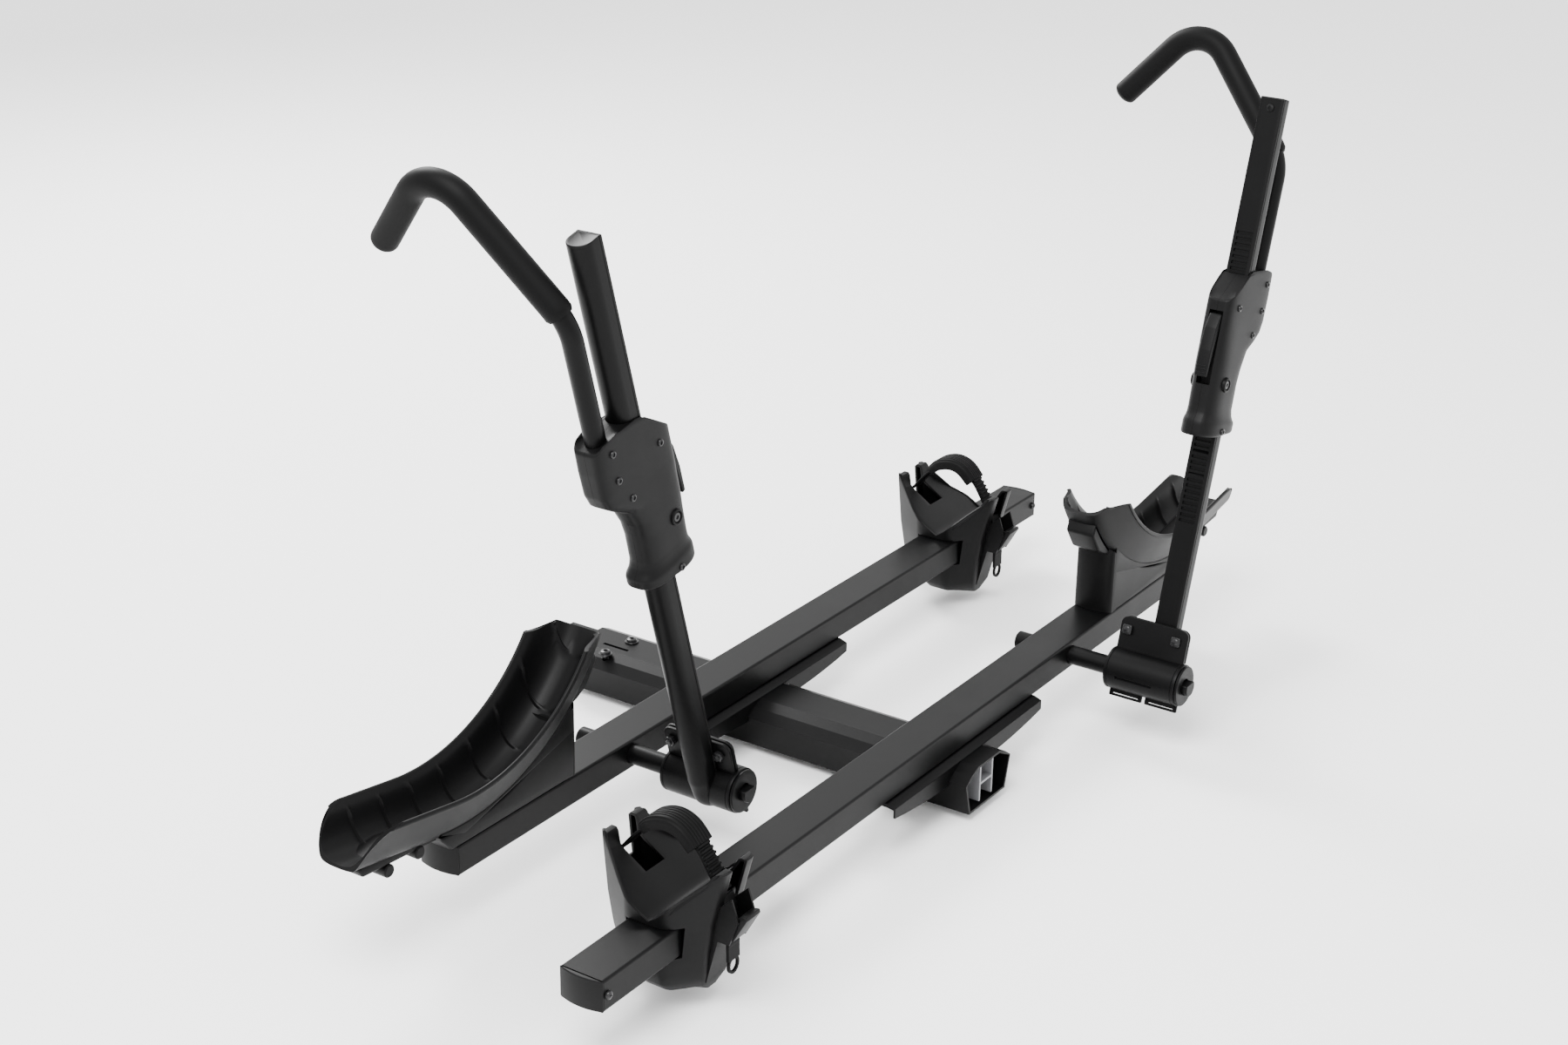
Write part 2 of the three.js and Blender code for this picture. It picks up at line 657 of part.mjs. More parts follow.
function strapTail() {
  return geometryOf(strapRibbon(tailLine, strap.thick, strap.half));
}

function strapPad() {
  const padLine = [[49, 79], [34, 92], [13, 98], [-6, 93], [-23, 77]];
  const pad = strapRibbon(padLine, strap.padThick, strap.padHalf);
  const channel = strapRibbon(strapLine, strap.thick + 2 * GAP, strap.half + GAP);
  return geometryOf(pad.subtract(channel));
}

function buckleBody() {
  const { half, wall } = buckle;
  const side = outline([
    [-51.8, -9], [-51.8, 8], [-60, 20], [-75, 34], [-84, 8], [-72, -24],
    [-57, -24], [-42, -82], [-38.4, -82], [-50.5, -10],
  ]);
  const block = alongX(side, strap.x - half, strap.x + half);
  const run = box(strap.x - half + wall, -100, -10, strap.x + half - wall, -54.5, 60);
  const outlet = box(strap.x - half + wall, -100, -60, strap.x + half - wall, -59.5, -9);
  return geometryOf(block.subtract(run).subtract(outlet));
}

function buckleLever() {
  const { leverHalf } = buckle;
  const shape = outline([[-78, 8], [-82, 12], [-90, 14], [-92, 11], [-74, -20], [-70, -18]]);
  return geometryOf(alongX(shape, strap.x - leverHalf, strap.x + leverHalf));
}

// ---------------------------------------------------------------- spine
function spineTube() {
  const { start, end, wall } = spine;
  const hollow = alongY(spineOutline(-wall), start - 1, end + 1);
  const slot = box(spineSlot.x - spineSlot.width / 2, spineSlot.from, -60,
    spineSlot.x + spineSlot.width / 2, spineSlot.to, 0);
  let tube = alongY(spineOutline(0), start, end).subtract(hollow).subtract(slot);
  for (const [x, y] of spineBolt.places) {
    tube = tube.subtract(alongZ(clearDisc(x, y, spineBolt.shank, 4), -60, 0, 4));
  }
  return geometryOf(tube);
}

function spineBulkhead() {
  const { setBack, depth, web, legHalfGap, legHalfHeight } = bulkhead;
  const y0 = spine.start + setBack;
  const mid = (spine.bottom + spine.apexZ) / 2;
  const legs = [-1, 1].map((side) => box(
    side * legHalfGap - web / 2, y0, mid - legHalfHeight,
    side * legHalfGap + web / 2, y0 + depth, mid + legHalfHeight));
  const bar = box(-legHalfGap, y0, mid - web / 2, legHalfGap, y0 + depth, mid + web / 2);
  return geometryOf(union([...legs, bar]));
}

function hitchInsert() {
  const half = hitch.size / 2;
  const mid = -73.5;
  const start = hitch.faceY - hitch.inside;
  const bar = box(-half, start, mid - half, half, hitch.faceY, mid + half);
  const bore = box(-half + hitch.wall, start - 1, mid - half + hitch.wall,
    half - hitch.wall, hitch.faceY - 6, mid + half - hitch.wall);
  let body = bar.subtract(bore);
  for (const [x, y] of spineBolt.places) {
    body = body.subtract(alongZ(clearDisc(x, y, spineBolt.shank, 4), -60, 0, 4));
  }
  return geometryOf(body);
}

function spineBoltAt([x, y]) {
  const { head, shank, washer: washerRadius } = spineBolt;
  const seat = spine.apexZ + GAP + (Math.abs(x) > 20 ? 0.2 : 0);
  return geometryOf(union([
    alongZ(disc(x, y, washerRadius), seat, seat + 1.6, 5),
    alongZ(disc(x, y, head), seat + 1, seat + 6, 3),
    alongZ(disc(x, y, shank), seat - 15, seat + 1, 4),
  ]));
}

// ---------------------------------------------------------------- assembly
const pieces = [
  ['tray_tube', trayTube, finish.steel],
  ['tray_cap', () => endPlug(tray.holderEnd, -1, true), finish.plastic],
  ['tray_cap_screw', trayCapScrew, finish.bolt],
  ['tray_plug', () => endPlug(tray.cupEnd, 1, false), finish.plastic],
  ['tray_bracket', trayBracket, finish.steel],
  ['wheel_cup', wheelCup, finish.plastic],
  ['pivot_shaft', pivotShaft, finish.steel],
  ['pivot_washer', pivotWasher, finish.steel],
  ['pivot_barrel', pivotBarrel, finish.steel],
  ['clamp_plate', clampPlate, finish.steel],
  ['clamp_bolt_rear', () => clampBoltAt(clampBolt.rows[0]), finish.bolt],
  ['clamp_bolt_front', () => clampBoltAt(clampBolt.rows[1]), finish.bolt],
  ['mast_tube', mastTube, finish.steel],
  ['mast_cap', mastTopCap, finish.plastic],
  ['hook_tube', hookTube, finish.steel],
  ['hook_sleeve', hookSleeve, finish.rubber],
  ['housing_front', () => housingHalf(-1), finish.plastic],
  ['housing_rear', () => housingHalf(1), finish.plastic],
  ['release_lever', releaseLever, finish.plastic],
  ['pawl', pawl, finish.bolt],
  ['lock_plug', lockPlug, finish.bolt],
  ['wheel_holder', wheelHolder, finish.plastic],
  ['ladder_strap', ladderStrap, finish.rubber],
  ['strap_tail', strapTail, finish.rubber],
  ['strap_pad', strapPad, finish.rubber],
  ['buckle_body', buckleBody, finish.plastic],
  ['buckle_lever', buckleLever, finish.plastic],
];

const sharedPieces = [
  ['spine_tube', spineTube, finish.steel],
  ['spine_bulkhead', spineBulkhead, finish.steel],
  ['hitch_insert', hitchInsert, finish.steel],
  ['spine_bolt_right', () => spineBoltAt(spineBolt.places[0]), finish.bolt],
  ['spine_bolt_left', () => spineBoltAt(spineBolt.places[1]), finish.bolt],
];

const group = new THREE.Group();

function addMesh(name, geometry, look) {
  geometry.translate(ORIGIN.x, ORIGIN.y, ORIGIN.z);
  geometry.computeVertexNormals();
  const mesh = new THREE.Mesh(geometry, new THREE.MeshStandardMaterial(look));
  mesh.name = name;
  group.add(mesh);
}

// the inner tray carries the same pieces, mirrored left to right and one pitch nearer the vehicle
function mirrored(geometry) {
  const copy = geometry.clone();
  copy.scale(-1, 1, 1);
  copy.translate(0, TRAY_PITCH, 0);
  const index = copy.index.array;
  for (let t = 0; t < index.length; t += 3) {
    [index[t + 1], index[t + 2]] = [index[t + 2], index[t + 1]];
  }
  return copy;
}

for (const [name, make, look] of pieces) {
  const geometry = make();
  addMesh(`${name}_inner`, mirrored(geometry), look);
  addMesh(`${name}_outer`, geometry, look);
}
for (const [name, make, look] of sharedPieces) {
  addMesh(name, make(), look);
}

export default group;
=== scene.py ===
"""Looks of a hitch mounted bike rack for two bikes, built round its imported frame.

Lengths are metres in the row frame: +X along the trays, +Y toward the vehicle, +Z up. Each tray
assembly is drawn once in its own tray frame (origin over the spine on top of the tray tube) and
placed for the outer tray, or mirrored and placed for the inner one.
"""

import json
import logging
import math
from collections.abc import Callable, Sequence
from dataclasses import dataclass
from enum import Enum

import bpy
import numpy as np
from mathutils import Matrix, Vector


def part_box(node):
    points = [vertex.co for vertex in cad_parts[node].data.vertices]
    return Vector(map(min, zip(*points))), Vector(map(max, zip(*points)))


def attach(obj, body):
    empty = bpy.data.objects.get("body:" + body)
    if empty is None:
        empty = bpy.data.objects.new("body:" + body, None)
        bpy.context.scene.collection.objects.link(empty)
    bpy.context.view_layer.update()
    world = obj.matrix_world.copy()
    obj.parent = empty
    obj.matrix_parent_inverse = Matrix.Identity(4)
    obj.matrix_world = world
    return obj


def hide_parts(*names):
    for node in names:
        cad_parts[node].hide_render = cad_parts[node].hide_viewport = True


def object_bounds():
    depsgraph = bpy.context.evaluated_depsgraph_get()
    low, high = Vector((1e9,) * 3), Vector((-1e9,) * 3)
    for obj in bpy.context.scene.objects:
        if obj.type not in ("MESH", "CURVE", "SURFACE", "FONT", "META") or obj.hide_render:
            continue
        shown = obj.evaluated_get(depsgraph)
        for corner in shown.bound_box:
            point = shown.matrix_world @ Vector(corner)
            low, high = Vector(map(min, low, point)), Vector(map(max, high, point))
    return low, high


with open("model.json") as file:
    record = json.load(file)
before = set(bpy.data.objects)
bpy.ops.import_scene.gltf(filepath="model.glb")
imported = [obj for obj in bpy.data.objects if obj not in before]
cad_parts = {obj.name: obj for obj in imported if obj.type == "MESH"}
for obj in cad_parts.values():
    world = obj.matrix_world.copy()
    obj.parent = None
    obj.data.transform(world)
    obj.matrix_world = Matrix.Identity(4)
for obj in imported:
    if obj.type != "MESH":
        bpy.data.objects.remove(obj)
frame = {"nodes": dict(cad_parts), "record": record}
CAD_BOUNDS = [list(map(float, corner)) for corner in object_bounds()]

log = logging.getLogger("rack")
MM = 0.001
TINY = 1e-9
MAST_Y = -151 * MM
HOLDER_X = -558 * MM
FLOOR_GAP = 0.012
FLOOR_REACH = 14.0
Points = np.ndarray


class Side(Enum):
    """Which of the two tray assemblies a piece belongs to."""

    OUTER = "outer"
    INNER = "inner"


class Slot(Enum):
    """The record's material slots."""

    STEEL = "powder_coated_steel"
    PLASTIC = "black_plastic"
    RUBBER = "black_rubber"
    FASTENER = "black_fastener"


# ------------------------------------------------------------------ shader graph helpers
class Value:
    """A number or socket that takes part in arithmetic inside one shader graph."""

    def __init__(self, graph: "Graph", socket: bpy.types.NodeSocket) -> None:
        """Keeps the socket and the graph it belongs to."""
        self.graph = graph
        self.socket = socket

    def _math(self, operation: str, first: object, second: object) -> "Value":
        """One Math node on two terms."""
        node = self.graph.node("ShaderNodeMath", {"operation": operation}, {0: first, 1: second})
        return Value(self.graph, node.outputs[0])

    def __add__(self, other: object) -> "Value":
        """self + other, as a node."""
        return self._math("ADD", self, other)

    def __radd__(self, other: object) -> "Value":
        """other + self, as a node."""
        return self._math("ADD", other, self)

    def __sub__(self, other: object) -> "Value":
        """self - other, as a node."""
        return self._math("SUBTRACT", self, other)

    def __rsub__(self, other: object) -> "Value":
        """other - self, as a node."""
        return self._math("SUBTRACT", other, self)

    def __mul__(self, other: object) -> "Value":
        """self * other, as a node."""
        return self._math("MULTIPLY", self, other)

    def __rmul__(self, other: object) -> "Value":
        """other * self, as a node."""
        return self._math("MULTIPLY", other, self)


class Graph:
    """A new material's node tree, with one way to add any node."""

    def __init__(self, name: str) -> None:
        """Makes an empty material called name."""
        self.material = bpy.data.materials.new(name)
        self.material.use_nodes = True
        self.tree = self.material.node_tree
        self.tree.nodes.clear()

    def node(self, kind: str, settings: dict, sockets: dict) -> bpy.types.Node:
        """Adds a node, sets its options first and then its sockets.

        Args:
            kind: the node's type name.
            settings: option name to value.
            sockets: socket name or index to a number, colour, Value or socket.

        Returns:
            The node.
        """
        made = self.tree.nodes.new(kind)
        for key, value in settings.items():
            setattr(made, key, value)
        for key, value in sockets.items():
            target = made.inputs[key]
            source = value.socket if isinstance(value, Value) else value
            if isinstance(source, bpy.types.NodeSocket):
                self.tree.links.new(source, target)
            else:
                target.default_value = source
        return made

    def value(self, node: bpy.types.Node, output: str | int = 0) -> Value:
        """Wraps a node's output for arithmetic."""
        return Value(self, node.outputs[output])


@dataclass(frozen=True)
class Finish:
    """A black finish: two close tones, a roughness that wanders, and a fine grain.

    Attributes:
        name: material name.
        dark: darker tone.
        light: lighter tone.
        roughness: middle roughness.
        wander: how far the roughness strays.
        grain: grain cells per metre.
        relief: depth of the grain in metres.
        shine: specular level.
        metallic: metallic amount.
    """

    name: str
    dark: float
    light: float
    roughness: float
    wander: float
    grain: float
    relief: float
    shine: float
    metallic: float = 0.0

    def build(self) -> bpy.types.Material:
        """Makes the material.

        Returns:
            The material, ready to assign.
        """
        graph = Graph(self.name)
        place = graph.node("ShaderNodeTexCoord", {}, {}).outputs["Object"]
        cloud = graph.value(graph.node(
            "ShaderNodeTexNoise", {}, {"Vector": place, "Scale": 23.0, "Detail": 3.0}))
        grain = graph.value(graph.node(
            "ShaderNodeTexNoise", {}, {"Vector": place, "Scale": self.grain, "Detail": 2.0}))
        tone = graph.node("ShaderNodeMix", {"data_type": "RGBA"}, {
            "Factor": cloud,
            "A": (self.dark, self.dark, self.dark * 1.06, 1.0),
            "B": (self.light, self.light, self.light * 1.05, 1.0),
        })
        roughness = self.roughness + (cloud - 0.5) * (2.0 * self.wander) + (grain - 0.5) * 0.08
        bump = graph.node("ShaderNodeBump", {}, {
            "Strength": 1.0, "Distance": self.relief, "Height": grain})
        shader = graph.node("ShaderNodeBsdfPrincipled", {}, {
            "Base Color": tone.outputs[2],
            "Roughness": roughness,
            "Metallic": self.metallic,
            "Specular IOR Level": self.shine,
            "Normal": bump.outputs["Normal"],
        })
        graph.node("ShaderNodeOutputMaterial", {}, {"Surface": shader.outputs["BSDF"]})
        return graph.material


FINISHES = {
    Slot.STEEL: Finish("powder coat", 0.0012, 0.0020, 0.38, 0.05, 1500.0, 0.00005, 0.085),
    Slot.PLASTIC: Finish("moulded plastic", 0.0013, 0.0022, 0.44, 0.05, 2600.0, 0.00004, 0.105),
    Slot.RUBBER: Finish("soft rubber", 0.0008, 0.0014, 0.56, 0.06, 1900.0, 0.00005, 0.08),
    Slot.FASTENER: Finish("black zinc", 0.006, 0.012, 0.28, 0.05, 1200.0, 0.00003, 0.3, 0.25),
}
BARE_WEB = Finish("web in the spine", 0.16, 0.24, 0.42, 0.06, 900.0, 0.00004, 0.4, 0.4)
MATERIALS: dict[Slot, bpy.types.Material] = {}


# ------------------------------------------------------------------ surfaces
@dataclass
class Skin:
    """Vertices and faces of a surface before it becomes a mesh."""

    points: Points
    faces: list[tuple[int, ...]]

    def moved(self, by: Callable[[Points], Points]) -> "Skin":
        """The same faces with every point sent through a function."""
        return Skin(by(self.points), self.faces)

    def flipped(self) -> "Skin":
        """The same surface facing the other way."""
        return Skin(self.points, [tuple(reversed(face)) for face in self.faces])

    def outward(self) -> "Skin":
        """The closed surface turned so that its faces look out.

        The volume is the sum over fan triangles of p0 . (p1 x p2) / 6; a negative one means
        that the faces look in.

        Returns:
            This surface, or the same one flipped.
        """
        fans = np.array([
            (face[0], face[i], face[i + 1]) for face in self.faces for i in range(1, len(face) - 1)
        ])
        corners = self.points[fans] - self.points.mean(axis=0)
        volume = np.einsum("ij,ij->", corners[:, 0], np.cross(corners[:, 1], corners[:, 2]))
        return self if volume > 0 else self.flipped()

    def without(self, lows: Sequence[float], highs: Sequence[float]) -> "Skin":
        """The surface less the faces whose middles lie in a box.

        Args:
            lows: the box's low corner.
            highs: its high corner.

        Returns:
            The surface that is left.
        """
        low, high = np.array(lows), np.array(highs)
        middles = np.array([self.points[list(face)].mean(axis=0) for face in self.faces])
        inside = ((middles > low) & (middles < high)).all(axis=1)
        return Skin(self.points, [f for f, gone in zip(self.faces, inside) if not gone])


def joined(skins: Sequence[Skin]) -> Skin:
    """Several surfaces as one.

    Args:
        skins: the surfaces.

    Returns:
        One surface that holds all their points and faces.
    """
    starts = np.cumsum([0] + [len(skin.points) for skin in skins[:-1]])
    faces = [
        tuple(int(i + start) for i in face)
        for skin, start in zip(skins, starts) for face in skin.faces
    ]
    return Skin(np.concatenate([skin.points for skin in skins]), faces)


def lattice(grid: Points, wrap_rows: bool = False, wrap_cols: bool = False) -> Skin:
    """A two-parameter grid as quads.

    Args:
        grid: points, shape (rows, columns, 3).
        wrap_rows: whether the last row joins the first.
        wrap_cols: whether the last column joins the first.

    Returns:
        The surface.
    """
    rows, cols = grid.shape[:2]
    r = np.arange(rows if wrap_rows else rows - 1)[:, None]
    c = np.arange(cols if wrap_cols else cols - 1)[None, :]
    r2, c2 = (r + 1) % rows, (c + 1) % cols
    quads = np.stack([r * cols + c, r * cols + c2, r2 * cols + c2, r2 * cols + c], axis=-1)
    return Skin(grid.reshape(-1, 3), [tuple(q) for q in quads.reshape(-1, 4).tolist()])


def loft(rings: Points) -> Skin:
    """Closed rings joined in order and capped flat at both ends.

    Args:
        rings: points, shape (rings, points, 3).

    Returns:
        The closed surface, facing out.
    """
    side = lattice(rings, wrap_cols=True)
    count = rings.shape[1]
    last = (rings.shape[0] - 1) * count
    side.faces.append(tuple(range(count - 1, -1, -1)))
    side.faces.append(tuple(range(last, last + count)))
    return side.outward()


def revolved(profile: Sequence[Sequence[float]], segments: int = 40) -> Skin:
    """A (radius, height) profile from axis to axis, turned about the third axis.

    A point at angle t is (r cos t, r sin t, h).

    Args:
        profile: (radius, height) pairs.
        segments: points round each ring.

    Returns:
        The closed surface, facing out.
    """
    radius, height = np.array(profile, float).T
    angle = np.linspace(0, 2 * np.pi, segments, endpoint=False)
    radius = np.maximum(radius, 1e-5)
    rings = np.stack([
        radius[:, None] * np.cos(angle), radius[:, None] * np.sin(angle),
        np.broadcast_to(height[:, None], (len(radius), segments)),
    ], axis=-1)
    return loft(rings)


def ring_of(profile: Sequence[Sequence[float]], segments: int = 48) -> Skin:
    """A closed (radius, height) profile that stays off the axis, turned about the third axis.

    Args:
        profile: (radius, height) pairs.
        segments: points round each ring.

    Returns:
        The closed ring, facing out.
    """
    radius, height = np.array(profile, float).T
    angle = np.linspace(0, 2 * np.pi, segments, endpoint=False)
    grid = np.stack([
        radius[:, None] * np.cos(angle), radius[:, None] * np.sin(angle),
        np.broadcast_to(height[:, None], (len(radius), segments)),
    ], axis=-1)
    return lattice(grid, wrap_rows=True, wrap_cols=True).outward()


def rounded(corners: Sequence[Sequence[float]], steps: int = 5) -> Points:
    """A closed outline with its corners rounded.

    Args:
        corners: (x, y, radius) in order; radius 0 keeps a corner sharp.
        steps: points along each rounded corner, less one.

    Returns:
        Points, shape (n, 2). Each rounded corner is the circle arc that touches both edges.
    """
    spots = np.array([c[:2] for c in corners], float)
    out: list[Points] = []
    for i, (x, y, radius) in enumerate(corners):
        here = np.array([x, y], float)
        back, ahead = spots[i - 1] - here, spots[(i + 1) % len(spots)] - here
        back_length, ahead_length = np.linalg.norm(back), np.linalg.norm(ahead)
        back, ahead = back / back_length, ahead / ahead_length
        half = math.acos(float(np.clip(back @ ahead, -0.99999, 0.99999))) / 2
        reach = min(radius / math.tan(half), 0.49 * back_length, 0.49 * ahead_length)
        if radius == 0 or reach < 1e-6:
            out.append(here[None, :])
            continue
        actual = reach * math.tan(half)
        middle = here + (back + ahead) / np.linalg.norm(back + ahead) * actual / math.sin(half)
        start, end = here + back * reach - middle, here + ahead * reach - middle
        turn = math.atan2(start[0] * end[1] - start[1] * end[0], start @ end)
        angles = math.atan2(start[1], start[0]) + np.linspace(0, turn, steps + 1)
        out.append(middle + actual * np.stack([np.cos(angles), np.sin(angles)], axis=-1))
    return np.concatenate(out)


def inset(outline: Points, by: float) -> Points:
    """A closed outline moved inward, each corner along its mitre.

    Args:
        outline: points, shape (n, 2).
        by: the distance.

    Returns:
        The moved points: p + 2 m / |m|^2 times the distance, m the sum of both edges' normals.
    """
    before, after = np.roll(outline, 1, axis=0), np.roll(outline, -1, axis=0)
    area = np.sum(outline[:, 0] * after[:, 1] - outline[:, 1] * after[:, 0])
    turn = 1.0 if area > 0 else -1.0

    def normal(step: Points) -> Points:
        """Unit normals of steps, to the inside."""
        unit = step / np.maximum(np.linalg.norm(step, axis=1, keepdims=True), TINY)
        return turn * np.stack([-unit[:, 1], unit[:, 0]], axis=-1)

    first, second = normal(outline - before), normal(after - outline)
    mitre = first + second
    scale = 2.0 / np.maximum(np.sum(mitre * mitre, axis=1, keepdims=True), 0.6)
    return outline + mitre * scale * by


def slab(outline: Points, low: float, high: float, edge: float, steps: int = 3) -> Skin:
    """An outline in the first two axes, thick along the third, with rounded rims.

    Rings step round a quarter circle at each rim: inset edge (1 - sin t), height edge (1 - cos t).

    Args:
        outline: closed outline, shape (n, 2).
        low: lower face.
        high: upper face.
        edge: radius of the rims.
        steps: rings on each rim, less one.

    Returns:
        The closed surface.
    """
    turns = np.linspace(0, np.pi / 2, steps + 1)
    rings = []
    for t in turns:
        ring = inset(outline, edge * (1 - math.sin(t)))
        rings.append(np.column_stack([ring, np.full(len(ring), low + edge * (1 - math.cos(t)))]))
    for t in turns[::-1]:
        ring = inset(outline, edge * (1 - math.sin(t)))
        rings.append(np.column_stack([ring, np.full(len(ring), high - edge * (1 - math.cos(t)))]))
    return loft(np.array(rings))


def swept(path: Points, widths: Points, across: Points, profile: Points) -> Skin:
    """A closed profile carried along a path in a plane.

    Args:
        path: centre points, shape (n, 3).
        widths: profile scale at each centre point.
        across: the unit normal of the path's plane.
        profile: points (out of the plane, in the plane), shape (m, 2).

    Returns:
        The surface: centre + across * u + (tangent x across) * v, times the width.
    """
    tangent = np.gradient(path, axis=0)
    tangent /= np.linalg.norm(tangent, axis=1, keepdims=True)
    side = np.cross(tangent, across)
    scaled = profile[None, :, :] * widths[:, None, None]
    return loft(path[:, None, :] + scaled[..., :1] * across + scaled[..., 1:] * side[:, None, :])


def circle(radius: float, count: int = 28) -> Points:
    """A round profile."""
    angle = np.linspace(0, 2 * np.pi, count, endpoint=False)
    return radius * np.stack([np.cos(angle), np.sin(angle)], axis=-1)


def smooth_line(knots: Sequence[Sequence[float]], count: int) -> Points:
    """A smooth line through knots, evenly spaced.

    It is a Catmull-Rom line: between knots, a cubic whose slopes are half the step between the
    neighbours on either side.

    Args:
        knots: the points it goes through.
        count: how many points to give.

    Returns:
        The points, evenly spaced.
    """
    p = np.array(knots, float)
    p = np.vstack([2 * p[0] - p[1], p, 2 * p[-1] - p[-2]])
    t = np.linspace(0, 1, 24, endpoint=False)[:, None]
    spans = [
        0.5 * (2 * b + (c - a) * t + (2 * a - 5 * b + 4 * c - d) * t**2
               + (3 * b - a - 3 * c + d) * t**3)
        for a, b, c, d in zip(p[:-3], p[1:-2], p[2:-1], p[3:])
    ]
    line = np.vstack([*spans, p[-2:-1]])
    travel = np.concatenate([[0], np.cumsum(np.linalg.norm(np.diff(line, axis=0), axis=1))])
    even = np.linspace(0, travel[-1], count)
    return np.stack([np.interp(even, travel, line[:, k]) for k in range(line.shape[1])], axis=-1)


# ------------------------------------------------------------------ places
@dataclass(frozen=True)
class Place:
    """Where one tray assembly sits. Its own frame has x toward its wheel cup.

    Attributes:
        side: outer or inner.
        sign: +1 where the tray frame's x is the row's, -1 where it is mirrored.
        centre_y: row y of the tray tube's middle.
        top_z: row z of the tray tube's top.
        pivot: the mast pivot in the tray frame, (x, z).
        lean: the mast's lean from upright, in radians.
    """

    side: Side
    sign: float
    centre_y: float
    top_z: float
    pivot: tuple[float, float]
    lean: float

    def name(self, stem: str) -> str:
        """The node or body called stem on this side."""
        return f"{stem}_{self.side.value}"

    def row(self, points: Points) -> Points:
        """Tray frame to row frame."""
        return points * [self.sign, 1, 1] + [0, self.centre_y, self.top_z]

    def mast(self, points: Points) -> Points:
        """Mast frame to tray frame.

        Args:
            points: (k out of the round side, y, a up the mast).

        Returns:
            The points turned by the lean and moved to the pivot.
        """
        k, y, a = np.moveaxis(points, -1, 0)
        cos, sin = math.cos(self.lean), math.sin(self.lean)
        return np.stack([self.pivot[0] + k * cos + a * sin, y, self.pivot[1] - k * sin + a * cos],
                        axis=-1)


def place_of(side: Side) -> Place:
    """Reads one tray assembly's place from the frame.

    Args:
        side: outer or inner.

    Returns:
        Its place.
    """
    low, high = (np.array(c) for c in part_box(f"tray_tube_{side.value}"))
    joints = {j["name"]: j for j in frame["record"]["behaviour"]["joints"]}
    pivot = joints[f"mast_fold_{side.value}"]["pos_m"]
    up = joints[f"hook_slide_{side.value}"]["axis"]
    sign = 1.0 if side is Side.OUTER else -1.0
    centre, top = float(low[1] + high[1]) / 2, float(high[2])
    return Place(side, sign, centre, top, (sign * pivot[0], pivot[2] - top),
                 math.atan2(abs(up[0]), up[2]))


def zxy(points: Points) -> Points:
    """Local (u, v, w) to (x=u, z=v) thick along y=w."""
    return points[..., [0, 2, 1]]


def yzx(points: Points) -> Points:
    """Local (u, v, w) to (y=u, z=v) thick along x=w."""
    return points[..., [2, 0, 1]]


# ------------------------------------------------------------------ making and dressing pieces
def make_piece(name: str, skin: Skin, slot: Slot, body: str, replaces: Sequence[str] = (),
               crease: float = 40.0) -> bpy.types.Object:
    """Turns a surface in the row frame into a piece of the rack.

    Args:
        name: the piece's name.
        skin: the surface, in the row frame.
        slot: its material slot.
        body: the CAD body it rides on.
        replaces: CAD nodes it stands for.
        crease: edges that turn more than this many degrees stay sharp.

    Returns:
        The object.
    """
    mesh = bpy.data.meshes.new(name)
    mesh.from_pydata(skin.points.tolist(), [], skin.faces)
    mesh.validate()
    mesh.shade_smooth()
    mesh.set_sharp_from_angle(angle=math.radians(crease))
    piece = bpy.data.objects.new(name, mesh)
    bpy.context.collection.objects.link(piece)
    piece.data.materials.append(MATERIALS[slot])
    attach(piece, body)
    if replaces:
        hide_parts(*replaces)
    log.info("built %s: %d faces", name, len(skin.faces))
    return piece


def placed(skins: Sequence[Skin], place: Place, mast: bool = False) -> Skin:
    """Closed surfaces in the tray or mast frame, as one surface in the row frame.

    Args:
        skins: the surfaces.
        place: which tray assembly.
        mast: whether they are drawn in the mast frame.

    Returns:
        The joined surface, facing out.
    """
    def to_row(points: Points) -> Points:
        """From the surfaces' frame to the row frame."""
        return place.row(place.mast(points) if mast else points)

    return joined([skin.moved(to_row).outward() for skin in skins])


def dress(node: str, slot: Slot, edge: float, angle: float = 32.0) -> None:
    """Gives a CAD node its finish and rounded edges.

    Args:
        node: the CAD node.
        slot: its material slot.
        edge: width of the rounding, or 0 for none.
        angle: edges that turn more than this many degrees are rounded.
    """
    piece = frame["nodes"][node]
    piece.data.materials.clear()
    piece.data.materials.append(MATERIALS[slot])
    if edge > 0:
        merge = piece.modifiers.new("flat faces", "DECIMATE")
        merge.decimate_type = "DISSOLVE"
        merge.angle_limit = math.radians(1.5)
        bevel = piece.modifiers.new("edges", "BEVEL")
        bevel.width = edge
        bevel.segments = 3
        bevel.limit_method = "ANGLE"
        bevel.angle_limit = math.radians(angle)
        bevel.harden_normals = True
    piece.data.shade_smooth()
    if edge == 0:
        piece.data.set_sharp_from_angle(angle=math.radians(angle))
    log.info("dressed %s", node)


